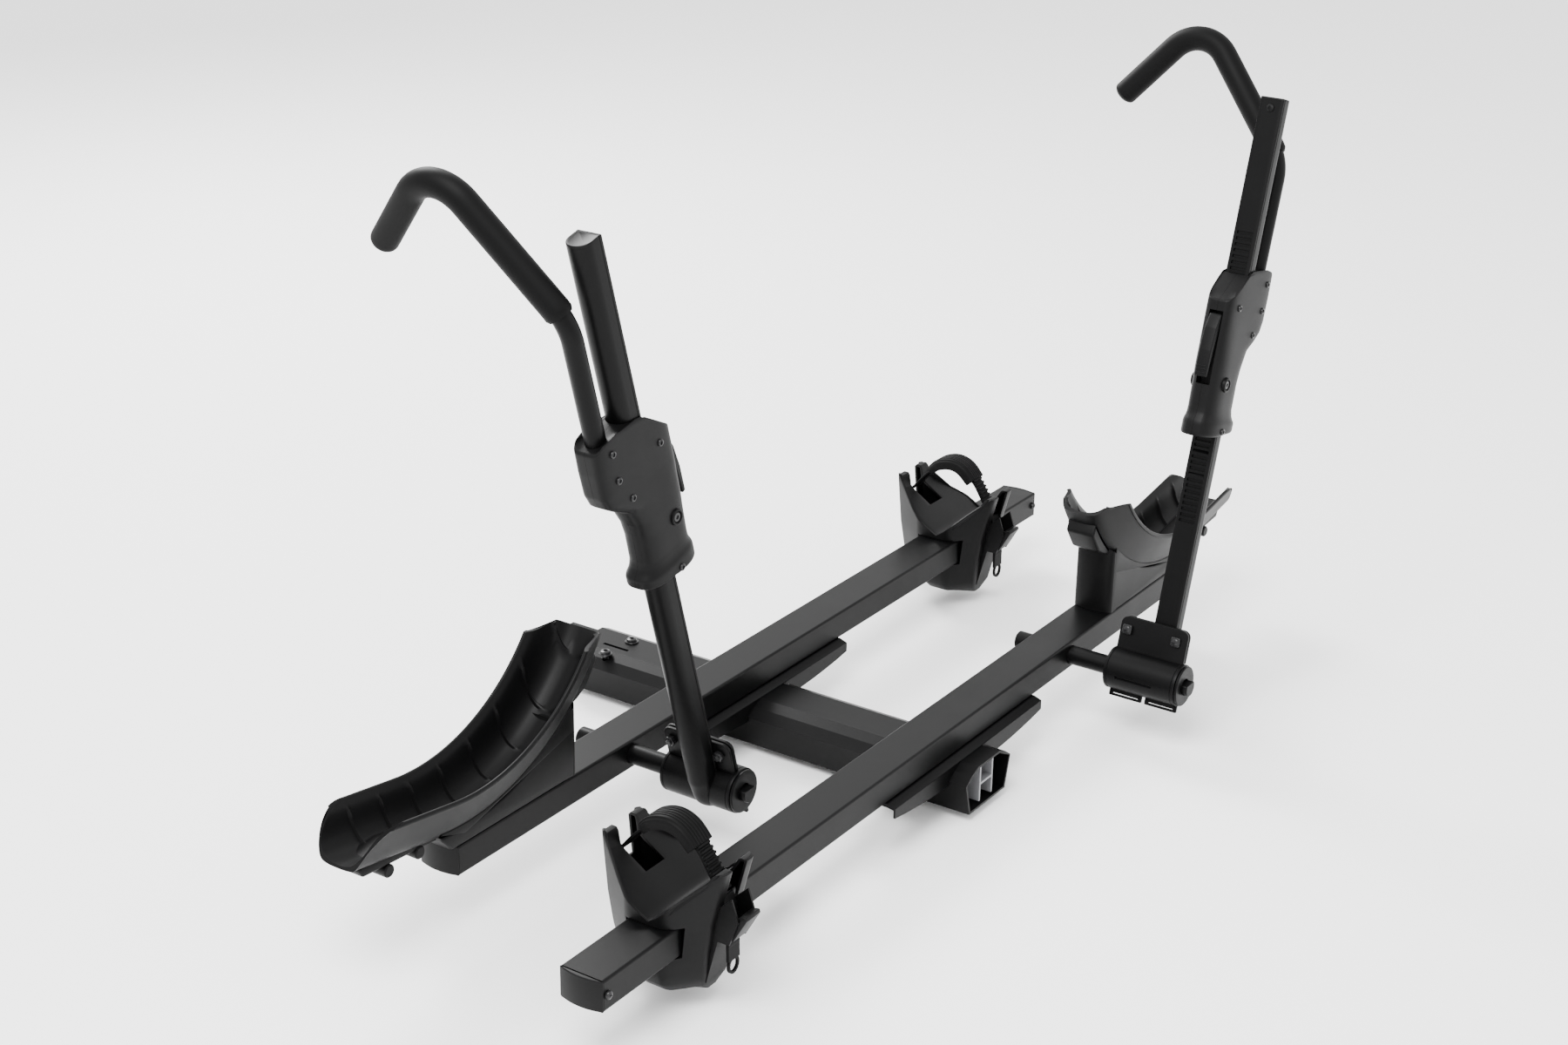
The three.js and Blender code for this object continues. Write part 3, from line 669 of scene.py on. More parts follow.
# ------------------------------------------------------------------ fasteners
@dataclass(frozen=True)
class Screw:
    """A domed screw head with a recess, seen from the head.

    Attributes:
        radius: head radius.
        height: head height.
        recess: recess reach from the middle.
        arms: 4 for a cross recess, 6 for a hexagon socket.
        shank: shank radius.
        length: shank length below the head.
    """

    radius: float = 4.6 * MM
    height: float = 3.6 * MM
    recess: float = 2.5 * MM
    arms: int = 4
    shank: float = 2.0 * MM
    length: float = 6.0 * MM

    def skin(self, at: Sequence[float], along: Sequence[float]) -> Skin:
        """The screw's surface, in the frame that at and along are given in.

        The head is a grid of rings. Its height is a dome, height * sqrt(1 - 0.55 (r / R)^2); the
        recess drops where r is under reach * (0.32 + 0.68 |cos 2t|^8) for a cross, or under a
        hexagon's flat for a socket.

        Args:
            at: the middle of the head's underside.
            along: the unit direction out of the head.

        Returns:
            The surface.
        """
        angle = np.linspace(0, 2 * np.pi, 48, endpoint=False)
        if self.arms == 4:
            reach = self.recess * (0.32 + 0.68 * np.abs(np.cos(2 * angle)) ** 8)
        else:
            reach = self.recess * math.cos(math.pi / 6) / np.cos(
                (angle + math.pi / 6) % (math.pi / 3) - math.pi / 6)
        r = self.radius

        def dome(radii: Points) -> Points:
            """Height of the head at these radii."""
            return self.height * np.sqrt(np.clip(1 - 0.55 * (radii / r) ** 2, 0, 1))

        depth = 0.55 * self.height
        full = np.ones_like(angle)
        rings = [
            (full * self.shank, full * -self.length), (full * self.shank, full * 0.0),
            (full * r, full * 0.0), (full * r, dome(full * r) * 0.75),
            (full * r * 0.93, dome(full * r * 0.93)), (full * r * 0.8, dome(full * r * 0.8)),
            (reach * 1.06, dome(reach * 1.06)), (reach, dome(reach) - 0.15 * MM),
            (reach * 0.95, dome(reach) - depth), (reach * 0.4, dome(reach) - depth),
        ]
        grid = np.stack([
            np.stack([radii * np.cos(angle), radii * np.sin(angle), heights], axis=-1)
            for radii, heights in rings
        ])
        axis = np.array(along, float)
        other = np.cross(axis, [0.3, 0.1, 0.9])
        other /= np.linalg.norm(other)
        turned = np.stack([other, np.cross(axis, other), axis])
        return loft(grid).moved(lambda p: p @ turned + np.array(at, float)).outward()


@dataclass(frozen=True)
class Tray:
    """One tray tube with its two end plugs, cap screw and pressed bracket.

    Attributes:
        place: which tray assembly.
        screw: the cap's cross-head screw.
        seat: the screw's seat from the tube's middle.
    """

    place: Place
    screw: Screw = Screw(5.0 * MM, 4.2 * MM, 3.0 * MM)
    seat: float = 28.7 * MM

    def build(self) -> None:
        """Builds the cap screw and both end plugs in place of their CAD nodes."""
        low, high = (np.array(c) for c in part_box(self.place.name("tray_cap_screw")))
        middle = (low + high) / 2
        seat = self.place.centre_y - self.seat
        skin = self.screw.skin((middle[0], seat, middle[2]), (0, -1, 0))
        name = self.place.name("tray_cap_screw")
        make_piece(f"{name}_head", skin, Slot.FASTENER, "rack", [name])
        for stem, toward in (("tray_cap", -1.0), ("tray_plug", 1.0)):
            self.end_plug(stem, toward)

    def end_plug(self, stem: str, toward: float) -> None:
        """Builds an end plug: a flange bulged in plan by a circle arc, and its shank in the tube.

        Args:
            stem: the CAD node's stem.
            toward: -1 at the holder end, +1 at the cup end, in the tray frame.
        """
        place = self.place
        node = place.name(stem)
        low, high = (np.array(c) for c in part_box(node))
        tube_low, tube_high = (np.array(c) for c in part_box(place.name("tray_tube")))
        ahead = place.sign * toward > 0
        far = place.sign * (high[0] if ahead else low[0])
        near = place.sign * (low[0] if ahead else high[0])
        mouth = place.sign * (tube_high[0] if ahead else tube_low[0]) + toward * 0.3 * MM
        half = float(high[1] - low[1]) / 2
        t = np.linspace(-1, 1, 33)
        front = np.column_stack([far - toward * abs(far - mouth) * 0.82 * t**2, half * t])
        outline = np.vstack([front, [[mouth, half]], [[mouth, -half]]])
        base, top = float(low[2]) - place.top_z, float(high[2]) - place.top_z
        flange = slab(outline, base, top, 1.4 * MM, 5)
        inner = half - 2.5 * MM
        shank = np.array([(mouth - toward * 0.1 * MM, inner), (near, inner), (near, -inner),
                          (mouth - toward * 0.1 * MM, -inner)])
        body = slab(shank, -35.6 * MM, -2.4 * MM, 0.6 * MM)
        make_piece(f"{node}_moulding", placed([flange, body], place), Slot.PLASTIC, "rack", [node])

    def dress(self) -> None:
        """Finishes the tube and the bracket."""
        dress(self.place.name("tray_tube"), Slot.STEEL, 0.0)
        dress(self.place.name("tray_bracket"), Slot.STEEL, 0.8 * MM)


# ------------------------------------------------------------------ wheel cup
@dataclass(frozen=True)
class WheelCup:
    """The moulded trough that takes the front tyre, on its skirt over the tray's end.

    Attributes:
        centre: middle of the big arc in the tray frame, (x, z).
        lip_radius: radius of the lip's arc.
        depth: lip to floor.
        slope: slope of the straight run past the arc.
        low_lip: x where the lip ends low down.
        low_floor: how much further the floor runs.
        high_lip: arc angle in degrees where the lip ends high up.
        high_floor: arc angle in degrees where the floor ends.
        ribs: x of the raised ribs, in millimetres.
        skirt_half: half the skirt's width.
        column: x where the skirt's rounded end starts.
    """

    place: Place
    centre: tuple[float, float] = (597 * MM, 317.5 * MM)
    lip_radius: float = 247 * MM
    depth: float = 50 * MM
    slope: float = 0.15
    low_lip: float = 721 * MM
    low_floor: float = 55 * MM
    high_lip: float = 52.8
    high_floor: float = 59.0
    ribs: tuple[float, ...] = (717, 667, 617, 567, 515, 465, 415, 362)
    skirt_half: float = 28.5 * MM
    column: float = 402.5 * MM

    def point(self, travel: Points, below: Points) -> tuple[Points, Points]:
        """Points on the trough, on its arc or on the straight run at atan(slope).

        Args:
            travel: arc length along the lip, positive up the arc, negative down the run.
            below: distance outward from the lip's line.

        Returns:
            Their x and z.
        """
        radius = self.lip_radius + below
        turn = math.atan(self.slope)
        on_arc = np.maximum(travel, 0) / self.lip_radius
        run = np.minimum(travel, 0)
        angle = turn - on_arc
        x = self.centre[0] + radius * np.sin(angle) - run * math.cos(turn)
        z = self.centre[1] - radius * np.cos(angle) - run * math.sin(turn)
        return x, z

    def travel_at(self, x: Points, below: Points) -> Points:
        """Travel of the point at x, a distance below the lip's line.

        Args:
            x: where along the tray.
            below: distance outward from the lip's line.

        Returns:
            Arc length along the lip, the inverse of point.
        """
        turn = math.atan(self.slope)
        radius = self.lip_radius + below
        start = self.centre[0] + radius * math.sin(turn)
        angle = np.arcsin(np.clip((np.minimum(x, start) - self.centre[0]) / radius, -1, 1))
        return np.where(x > start, -(x - start) / math.cos(turn), (turn - angle) * self.lip_radius)

    def trough(self) -> Skin:
        """The trough's shell with its ribs and rolled lip.

        The section is a closed loop: down the inside from one lip to the floor and up to the
        other, then back round the outside. Each thread of the section runs from its own start to
        its own end, which slants both ends of the trough. Rows stand upright at fixed x, so the
        ribs are upright too; a rib lifts its rows by up to 3.4 mm and fades toward lip and middle.

        Returns:
            The closed shell, in the tray frame.
        """
        inner = smooth_line([(43.6, 1.5), (38.6, 9), (33.2, 27), (27.5, 38), (19, 46), (8, 49.6),
                             (0, 50)], 26) * MM
        outer = smooth_line([(0, 54), (12, 53.6), (22, 51.5), (28.2, 45), (36.5, 26.5), (44.5, 8.5),
                             (46.0, 5.4)], 22) * MM
        lip = np.array([(47.9, 5.0), (48.3, 3.0), (48.0, 1.0), (47.2, 0.1), (45.8, -0.2),
                        (44.5, 0.3)]) * MM
        half = np.vstack([inner[::-1], lip[::-1], outer[::-1]])
        other = half[::-1] * [-1, 1]
        loop = np.vstack([half[:-1], other[:-1]])
        width, below = loop[:, 0], loop[:, 1]
        sweep = np.clip(below / self.depth, 0, 1)
        turn = math.atan(self.slope)
        straight = (self.low_lip - self.centre[0] - self.lip_radius * math.sin(turn)
                    + self.low_floor * (0.12 * sweep + 0.88 * np.sqrt(1 - (1 - sweep) ** 2)))
        top = self.high_lip + (self.high_floor - self.high_lip) * np.clip(below / (35 * MM), 0, 1)
        low_x, _ = self.point(-straight * 0.955, below)
        high_x, _ = self.point(self.lip_radius * (np.radians(top) + turn), below)
        first, last, final = (self.ribs[i] * MM for i in (0, -2, -1))
        rib_rows = [(rib * MM + step * MM) for rib in self.ribs[:-1]
                    for step in (-2.4, -0.9, 0.9, 2.4)]
        fixed = np.concatenate([np.arange(last - 6 * MM, first + 2.5 * MM, 6 * MM), rib_rows])
        fixed = np.unique(fixed.round(5))[::-1]
        fixed = fixed[np.concatenate([[True], np.diff(fixed) < -0.8 * MM])]
        stop = fixed[-1]
        near = np.maximum(final + 3 * MM, high_x + 0.2 * (stop - high_x))
        rows = [low_x + (fixed[0] - low_x) * share for share in np.linspace(0, 1, 14)[:-1]]
        rows += [np.full(len(loop), x) for x in fixed]
        rows += [stop + (near - stop) * share for share in np.linspace(0, 1, 9)[1:]]
        steps = np.minimum(1.0, (near - high_x) / (7 * MM))
        rows += [near - step * MM * steps for step in (1.5, 3.2, 4.8)]
        rows += [near - 4.8 * MM * steps + (high_x - near + 4.8 * MM * steps) * share
                 for share in (0.5, 1.0)]
        along = np.stack(rows)
        ribs = np.array(self.ribs) * MM
        gap = np.abs(along[:, :, None] - ribs[None, None, :]).min(axis=2)
        crest = np.clip((2.1 * MM - gap) / (1.1 * MM), 0, 1)
        count = len(inner)
        mask = np.zeros(len(loop))
        mask[:count] = 1
        mask[-(count - 1):] = 1
        fade = 14 * MM
        on_wall = np.clip((below - 7 * MM) / fade, 0, 1) * np.clip(np.abs(width) / fade, 0, 1)
        raised = 3.4 * MM * crest * (mask * on_wall)[None, :]
        x, z = self.point(self.travel_at(along, below[None, :]), below[None, :] - raised * 0.45)
        y = np.broadcast_to(width, x.shape)
        y = y - np.sign(y) * np.minimum(raised * 0.9, np.abs(y))
        return loft(np.stack([x, y, z], axis=-1))

    def skirt(self) -> list[Skin]:
        """The upright skirt with its cheeks against the trough, and the keel past the tray.

        Returns:
            The skirt, the keel and the two cheeks, in the tray frame.
        """
        turns = np.radians(np.arange(-40.5, 8.6, 3.5))
        radius = self.lip_radius + self.depth + 1.5 * MM
        under = np.column_stack([self.centre[0] + radius * np.sin(turns),
                                 self.centre[1] - radius * np.cos(turns)])
        outline = np.vstack([
            [[self.column, 0.3 * MM]], [[self.column, 84 * MM]], under[:-1],
            [[641 * MM, 23 * MM]], [[639 * MM, 18 * MM]], [[623 * MM, 0.3 * MM]],
        ])
        wide = slab(outline, -self.skirt_half, self.skirt_half, 2.5 * MM)
        keel = rounded([(600, 8, 2), (632, 16, 4), (757, 25, 5), (764, 38, 6), (700, 40, 2),
                        (600, 24, 2)], 4) * MM
        narrow = slab(keel, -19 * MM, 19 * MM, 2.5 * MM)
        arc = np.radians(np.arange(-41, 8.6, 3.5))
        level = self.lip_radius + 45.6 * MM
        upper = np.column_stack([self.centre[0] + level * np.sin(arc),
                                 self.centre[1] - level * np.cos(arc)])
        cheek = np.vstack([[[self.column, 60 * MM]], upper, [[641 * MM, 26 * MM]],
                           [[600 * MM, 12 * MM]]])
        cheeks = [slab(cheek, low, low + 3.4 * MM, 1.2 * MM) for low in (-28.6 * MM, 25.2 * MM)]
        return [wide.moved(zxy), narrow.moved(zxy), *[c.moved(zxy) for c in cheeks]]

    def under(self, x: Points) -> Points:
        """Height inside the trough's floor sheet at x, on the arc."""
        radius = self.lip_radius + self.depth + 2 * MM
        return self.centre[1] - np.sqrt(radius**2 - (x - self.centre[0]) ** 2)

    def column_end(self) -> Skin:
        """The rounded inboard end of the skirt: half an oval in plan, carried straight up.

        Returns:
            The closed column, its top on the trough's floor.
        """
        t = np.linspace(-np.pi / 2, np.pi / 2, 25)
        plan = np.column_stack([self.column - 10.5 * MM * np.cos(t), self.skirt_half * np.sin(t)])
        plan = np.vstack([plan, [[self.column + 14 * MM, self.skirt_half - 1 * MM]],
                          [[self.column + 14 * MM, -self.skirt_half + 1 * MM]]])
        top = self.under(plan[:, 0])
        shares = np.linspace(0, 1, 10)
        low = 0.3 * MM
        rings = np.stack([np.column_stack([plan, low + (top - low) * s]) for s in shares])
        return loft(rings)

    def prow(self) -> Skin:
        """The keel below the high end: a wedge under the floor with a raised rim.

        Returns:
            The closed wedge, in the tray frame.
        """
        front = rounded([(352, 146, 1), (345, 132, 7), (366, 103, 6), (384, 93, 4), (404, 86, 2),
                         (428, 76, 1)], 5) * MM
        x = np.linspace(426 * MM, 354 * MM, 14)
        outline = np.vstack([front, np.column_stack([x, self.under(x)])])
        return slab(outline, -21 * MM, 21 * MM, 3 * MM).moved(zxy)

    def boss(self, x: float) -> Skin:
        """A round boss across the underside, at x in millimetres."""
        turned = revolved([(0, -21), (6.5, -21), (8, -19.5), (8, 19.5), (6.5, 21), (0, 21)], 32)
        return turned.moved(lambda p: (p * MM)[..., [0, 2, 1]] + [x * MM, 0, 15 * MM])

    def build(self) -> None:
        """Builds the cup as one piece in place of its CAD node."""
        skins = [self.trough(), *self.skirt(), self.column_end(), self.prow(),
                 self.boss(717), self.boss(667)]
        node = self.place.name("wheel_cup")
        make_piece(f"{node}_moulding", placed(skins, self.place), Slot.PLASTIC, "rack", [node])


# ------------------------------------------------------------------ pivot
@dataclass(frozen=True)
class Pivot:
    """The mast pivot: shaft, end washer, barrel with its plate, second plate and clamp bolts.

    Attributes:
        place: which tray assembly.
        shaft: shaft radius.
        barrel: barrel radius.
        back: y of the barrel's end next to the tray.
        front: y of its far end.
        flat: height of the flat on the shaft's tip.
        groove: depth of the barrel's long groove.
    """

    place: Place
    shaft: float = 12.7 * MM
    barrel: float = 28.5 * MM
    back: float = -90 * MM
    front: float = -193 * MM
    flat: float = 5.5 * MM
    groove: float = 2.6 * MM

    def about_y(self, skin: Skin) -> Skin:
        """A turned surface stood along Y on the pivot line."""
        x, z = self.place.pivot
        return skin.moved(lambda p: p[..., [0, 2, 1]] + [x, 0, z])

    def shaft_skin(self) -> Skin:
        """The shaft, its front end with a flat: heights above the flat are pressed down to it.

        Returns:
            The closed shaft, in the tray frame.
        """
        r = self.shaft / MM
        profile = [(0, 53), (r - 1.2, 53), (r, 51.8), (r, -192.6), (10.8, -192.8), (12, -198),
                   (12, -204), (11.2, -205), (0, -205)]
        skin = revolved(np.array(profile) * MM, 56)

        def press(points: Points) -> Points:
            """Tip points lowered to the flat."""
            tip = points[..., 2] < -192.7 * MM
            out = points.copy()
            out[..., 1] = np.where(tip, np.minimum(points[..., 1], self.flat), points[..., 1])
            return out

        return self.about_y(skin.moved(press))

    def washer_skin(self) -> Skin:
        """The end washer, a disc with a dished face."""
        rim = [(10.9, -193.3), (26, -193.3), (27, -194), (27, -196), (26.2, -196.8), (20, -197.1),
               (14, -196.6), (10.9, -196.6)]
        return self.about_y(ring_of(np.array(rim) * MM, 64))

    def barrel_skins(self) -> list[Skin]:
        """The barrel with a groove round each end and a long one down its far side.

        Points whose angle lies within 0.05 rad of the long groove's line are pressed in.

        Returns:
            The closed barrel, in the tray frame.
        """
        b, f, r = self.back / MM, self.front / MM, self.barrel / MM
        rim = [(13.3, f), (r - 1.4, f), (r - 0.3, f + 0.5), (r, f + 1.4), (r, f + 4),
               (r - 0.7, f + 4.5), (r - 0.7, f + 5.2), (r, f + 5.7), (r, b - 5.7),
               (r - 0.7, b - 5.2), (r - 0.7, b - 4.5), (r, b - 4), (r, b - 1.4),
               (r - 0.3, b - 0.5), (r - 1.4, b), (13.3, b)]
        b_edge, f_edge = -108.0, -161.0
        rows = [(r, y) for y in np.arange(b - 10, f + 9, -3.0)] + [
            (r, edge + step) for edge in (b_edge, f_edge) for step in (-0.2, 0.2)]
        rim = rim[:8] + sorted(rows, key=lambda p: p[1]) + rim[8:]
        skin = ring_of(np.array(rim) * MM, 120)

        def press(points: Points) -> Points:
            """Points of the long groove moved toward the axis."""
            angle = np.arctan2(points[..., 1], points[..., 0]) % (2 * np.pi) - np.pi
            radius = np.hypot(points[..., 0], points[..., 1])
            within = (np.abs(angle - 0.02) < 0.05) & (points[..., 2] < b_edge * MM) & (
                points[..., 2] > f_edge * MM) & (radius > 20 * MM)
            scale = np.where(within, 1 - self.groove / radius, 1.0)
            return points * np.stack([scale, scale, np.ones_like(scale)], axis=-1)

        return [self.about_y(skin.moved(press))]

    def plate_skin(self, low_k: float, foot: float) -> Skin:
        """A clamp plate with rounded upper corners, in the mast frame.

        Args:
            low_k: k of its lower face.
            foot: height of its foot, in millimetres.

        Returns:
            The plate.
        """
        outline = rounded([(-190, foot, 0.5), (-93, foot, 0.5), (-93, 72, 10), (-190, 72, 10)], 8)
        return slab(outline * MM, low_k, low_k + 4 * MM, 0.7 * MM).moved(yzx)

    def tab_skins(self) -> list[Skin]:
        """The two tabs under the barrel, each a slotted frame of four bars.

        Returns:
            The eight bars, in the mast frame.
        """
        skins = []
        for y0, y1 in ((-142, -95), (-193, -147)):
            for u0, u1, v0, v1 in ((y0, y1, -37, -33.9), (y0, y0 + 5, -35, -20),
                                   (y1 - 5, y1, -35, -20), (y0 + 1, y1 - 1, -32.7, -20)):
                bar = rounded([(u0, v0, 1.2), (u1, v0, 1.2), (u1, v1, 1.2), (u0, v1, 1.2)], 3)
                skins.append(slab(bar * MM, -5 * MM, -1 * MM, 0.5 * MM).moved(yzx))
        return skins

    def bolt_skins(self, y: float) -> tuple[Skin, Skin]:
        """A square rounded head with a dimple on one side and a nut on the other.

        Args:
            y: the bolt's y, in millimetres.

        Returns:
            The head, and the nut with the shank's end.
        """
        head = slab(rounded([(y - 6.5, 48.5, 2.4), (y + 6.5, 48.5, 2.4), (y + 6.5, 61.5, 2.4),
                             (y - 6.5, 61.5, 2.4)], 6) * MM, -9.4 * MM, -5.25 * MM, 1.3 * MM)
        dimple = np.array([(0, -10.2), (3.4, -10.2), (4.4, -9.4), (4.6, -8), (0, -8)]) * MM
        button = revolved(dimple, 36).moved(lambda p: p + [y * MM, 55 * MM, 0])
        turn = np.arange(6) * np.pi / 3
        hexagon = rounded([(y + 7 * math.cos(t), 55 + 7 * math.sin(t), 0.4) for t in turn], 3)
        nut = slab(hexagon * MM, 4.95 * MM, 11.2 * MM, 0.7 * MM)
        rod = np.array([(0, -6), (4, -6), (4, 13.2), (3.3, 14), (0, 14)]) * MM
        shank = revolved(rod, 32).moved(lambda p: p + [y * MM, 55 * MM, 0])
        return (joined([head.moved(yzx), button.moved(yzx)]),
                joined([nut.moved(yzx), shank.moved(yzx)]))

    def build(self) -> None:
        """Builds the pivot's pieces in place of their CAD nodes."""
        place = self.place
        shaft, washer = place.name("pivot_shaft"), place.name("pivot_washer")
        for skin, name, node in ((self.shaft_skin(), f"{shaft}_bar", shaft),
                                 (self.washer_skin(), f"{washer}_disc", washer)):
            make_piece(name, placed([skin], place), Slot.STEEL, "rack", [node])
        mast = place.name("mast")
        barrel = placed(self.barrel_skins(), place)
        wings = placed([self.plate_skin(-5 * MM, 17), *self.tab_skins()], place, mast=True)
        node = place.name("pivot_barrel")
        make_piece(f"{node}_sleeve", joined([barrel, wings]), Slot.STEEL, mast, [node])
        node = place.name("clamp_plate")
        plate = placed([self.plate_skin(0.7 * MM, 28.9)], place, mast=True)
        make_piece(f"{node}_sheet", plate, Slot.STEEL, mast, [node])
        for row, y in (("clamp_bolt_rear", -104), ("clamp_bolt_front", -174.5)):
            node = place.name(row)
            bolt = placed(self.bolt_skins(y), place, mast=True)
            make_piece(f"{node}_set", bolt, Slot.FASTENER, mast, [node])


# ------------------------------------------------------------------ mast
@dataclass(frozen=True)
class Mast:
    """The D-section mast with its rack of slots, top cap and snap button.

    Attributes:
        flat: k of the flat face.
        depth: flat face to the round side.
        half: half the width.
        centre: y of the mast's middle.
        foot: a of its foot.
        top: a of its top.
        rack: a of the first and last slot.
        pitch: slot spacing.
        slot_high: a slot's height.
        slot_half: half a slot's width.
        slot_deep: a slot's depth.
        round_foot: radius of the barrel that the foot is cut to.
    """

    place: Place
    flat: float = 5 * MM
    depth: float = 32 * MM
    half: float = 16 * MM
    centre: float = MAST_Y
    foot: float = -22 * MM
    top: float = 768 * MM
    rack: tuple[float, float] = (211 * MM, 600 * MM)
    pitch: float = 7.8 * MM
    slot_high: float = 3.6 * MM
    slot_half: float = 10.8 * MM
    slot_deep: float = 2.2 * MM
    round_foot: float = 28.9 * MM

    def section(self, shrink: float = 0.0) -> Points:
        """The D outline as (k, y), starting on the flat face.

        Args:
            shrink: how far it lies inside the real outline.

        Returns:
            The outline, shape (n, 2).
        """
        h = self.half - shrink
        round_k = self.flat + self.depth - self.half
        s = self.slot_half - shrink
        flat = np.array([[self.flat + shrink, self.centre + v] for v in
                         (-h + 1.2 * MM, -s - 0.3 * MM, -s, 0, s, s + 0.3 * MM, h - 1.2 * MM)])
        bead = np.array([[self.flat + shrink + 0.4 * MM, self.centre + h - 0.35 * MM],
                         [self.flat + shrink + 1.2 * MM, self.centre + h],
                         [self.flat + shrink + 4.0 * MM, self.centre + h],
                         [self.flat + shrink + 4.6 * MM, self.centre + h - 0.6 * MM],
                         [self.flat + shrink + 5.6 * MM, self.centre + h - 0.6 * MM],
                         [self.flat + shrink + 6.2 * MM, self.centre + h]])
        t = np.linspace(np.pi / 2, -np.pi / 2, 25)
        arc = np.column_stack([round_k + h * np.cos(t), self.centre + h * np.sin(t)])
        other = bead[::-1] * [1, -1] + [0, 2 * self.centre]
        return np.vstack([flat, bead, arc, other])

    def tube(self) -> Skin:
        """The mast's outside with slots pressed into the flat, and its foot cut to the barrel.

        Rings stand along a. In a slot's rows the middle of the flat is moved in by the slot's
        depth, and the row below each slot stands 0.6 mm proud. Near the foot, points inside
        radius R of the pivot move out to k = sqrt(R^2 - a^2), and the rest draws in toward them.

        Returns:
            The closed tube, in the mast frame.
        """
        starts = np.arange(self.rack[0], self.rack[1], self.pitch)
        edges = [[s - 0.2 * MM, s, s + self.slot_high, s + self.slot_high + 0.2 * MM]
                 for s in starts]
        low = np.linspace(self.foot, 30 * MM, 24)
        levels = np.unique(np.concatenate([low, *edges, [100 * MM, 160 * MM, 660 * MM, self.top]]))
        outline = self.section()
        rings = np.zeros((len(levels), len(outline), 3))
        rings[..., 0] = outline[:, 0]
        rings[..., 1] = outline[:, 1]
        rings[..., 2] = levels[:, None]
        phase = (levels - self.rack[0]) % self.pitch
        in_rack = (levels > self.rack[0] - 1e-6) & (levels < self.rack[1])
        in_slot = in_rack & (phase < self.slot_high + 1e-6)
        middle = np.zeros(len(outline), bool)
        middle[2:5] = True
        rings[..., 0] += self.slot_deep * (in_slot[:, None] & middle[None, :])
        lip = in_rack & (np.abs(phase - self.pitch + 0.2 * MM) < 0.3 * MM)
        rings[..., 0] -= 0.6 * MM * (lip[:, None] & middle[None, :])
        reach = np.sqrt(np.clip(self.round_foot**2 - levels**2, 0, None))[:, None]
        taper = np.clip((24 * MM - levels) / (24 * MM - self.foot), 0, 1)[:, None] ** 1.3
        stand = np.maximum(rings[..., 0] - reach, 0)
        rings[..., 0] = reach + stand * (1 - 0.93 * taper)
        rings[..., 1] = self.centre + (rings[..., 1] - self.centre) * (1 - 0.55 * taper)
        return loft(rings)

    def cap(self) -> list[Skin]:
        """The top cap with a rounded rim, and the snap button on the flat.

        Returns:
            The cap and the button, in the mast frame.
        """
        outline = self.section()
        turns = np.linspace(0, np.pi / 2, 5)
        rings = [np.column_stack([outline, np.full(len(outline), self.top + 0.2 * MM)])]
        for t in turns:
            by = 1.3 * MM * (1 - math.cos(t))
            height = self.top + 1.2 * MM + 1.6 * MM * math.sin(t)
            rings.append(np.column_stack([inset(outline, by), np.full(len(outline), height)]))
        rings.append(np.column_stack([inset(outline, 3.4 * MM),
                                      np.full(len(outline), self.top + 2.0 * MM)]))
        button = Screw(5 * MM, 2.1 * MM, 2.0 * MM, 6, 2.4 * MM, 2 * MM).skin(
            (self.flat - 0.1 * MM, self.centre, 757 * MM), (-1, 0, 0))
        return [loft(np.array(rings)), button]

    def build(self) -> None:
        """Builds mast and cap in place of their CAD nodes."""
        body = self.place.name("mast")
        node = self.place.name("mast_tube")
        tube = placed([self.tube()], self.place, mast=True)
        make_piece(f"{node}_section", tube, Slot.STEEL, body, [node], crease=35)
        node = self.place.name("mast_cap")
        lid = placed(self.cap(), self.place, mast=True)
        make_piece(f"{node}_lid", lid, Slot.PLASTIC, body, [node])


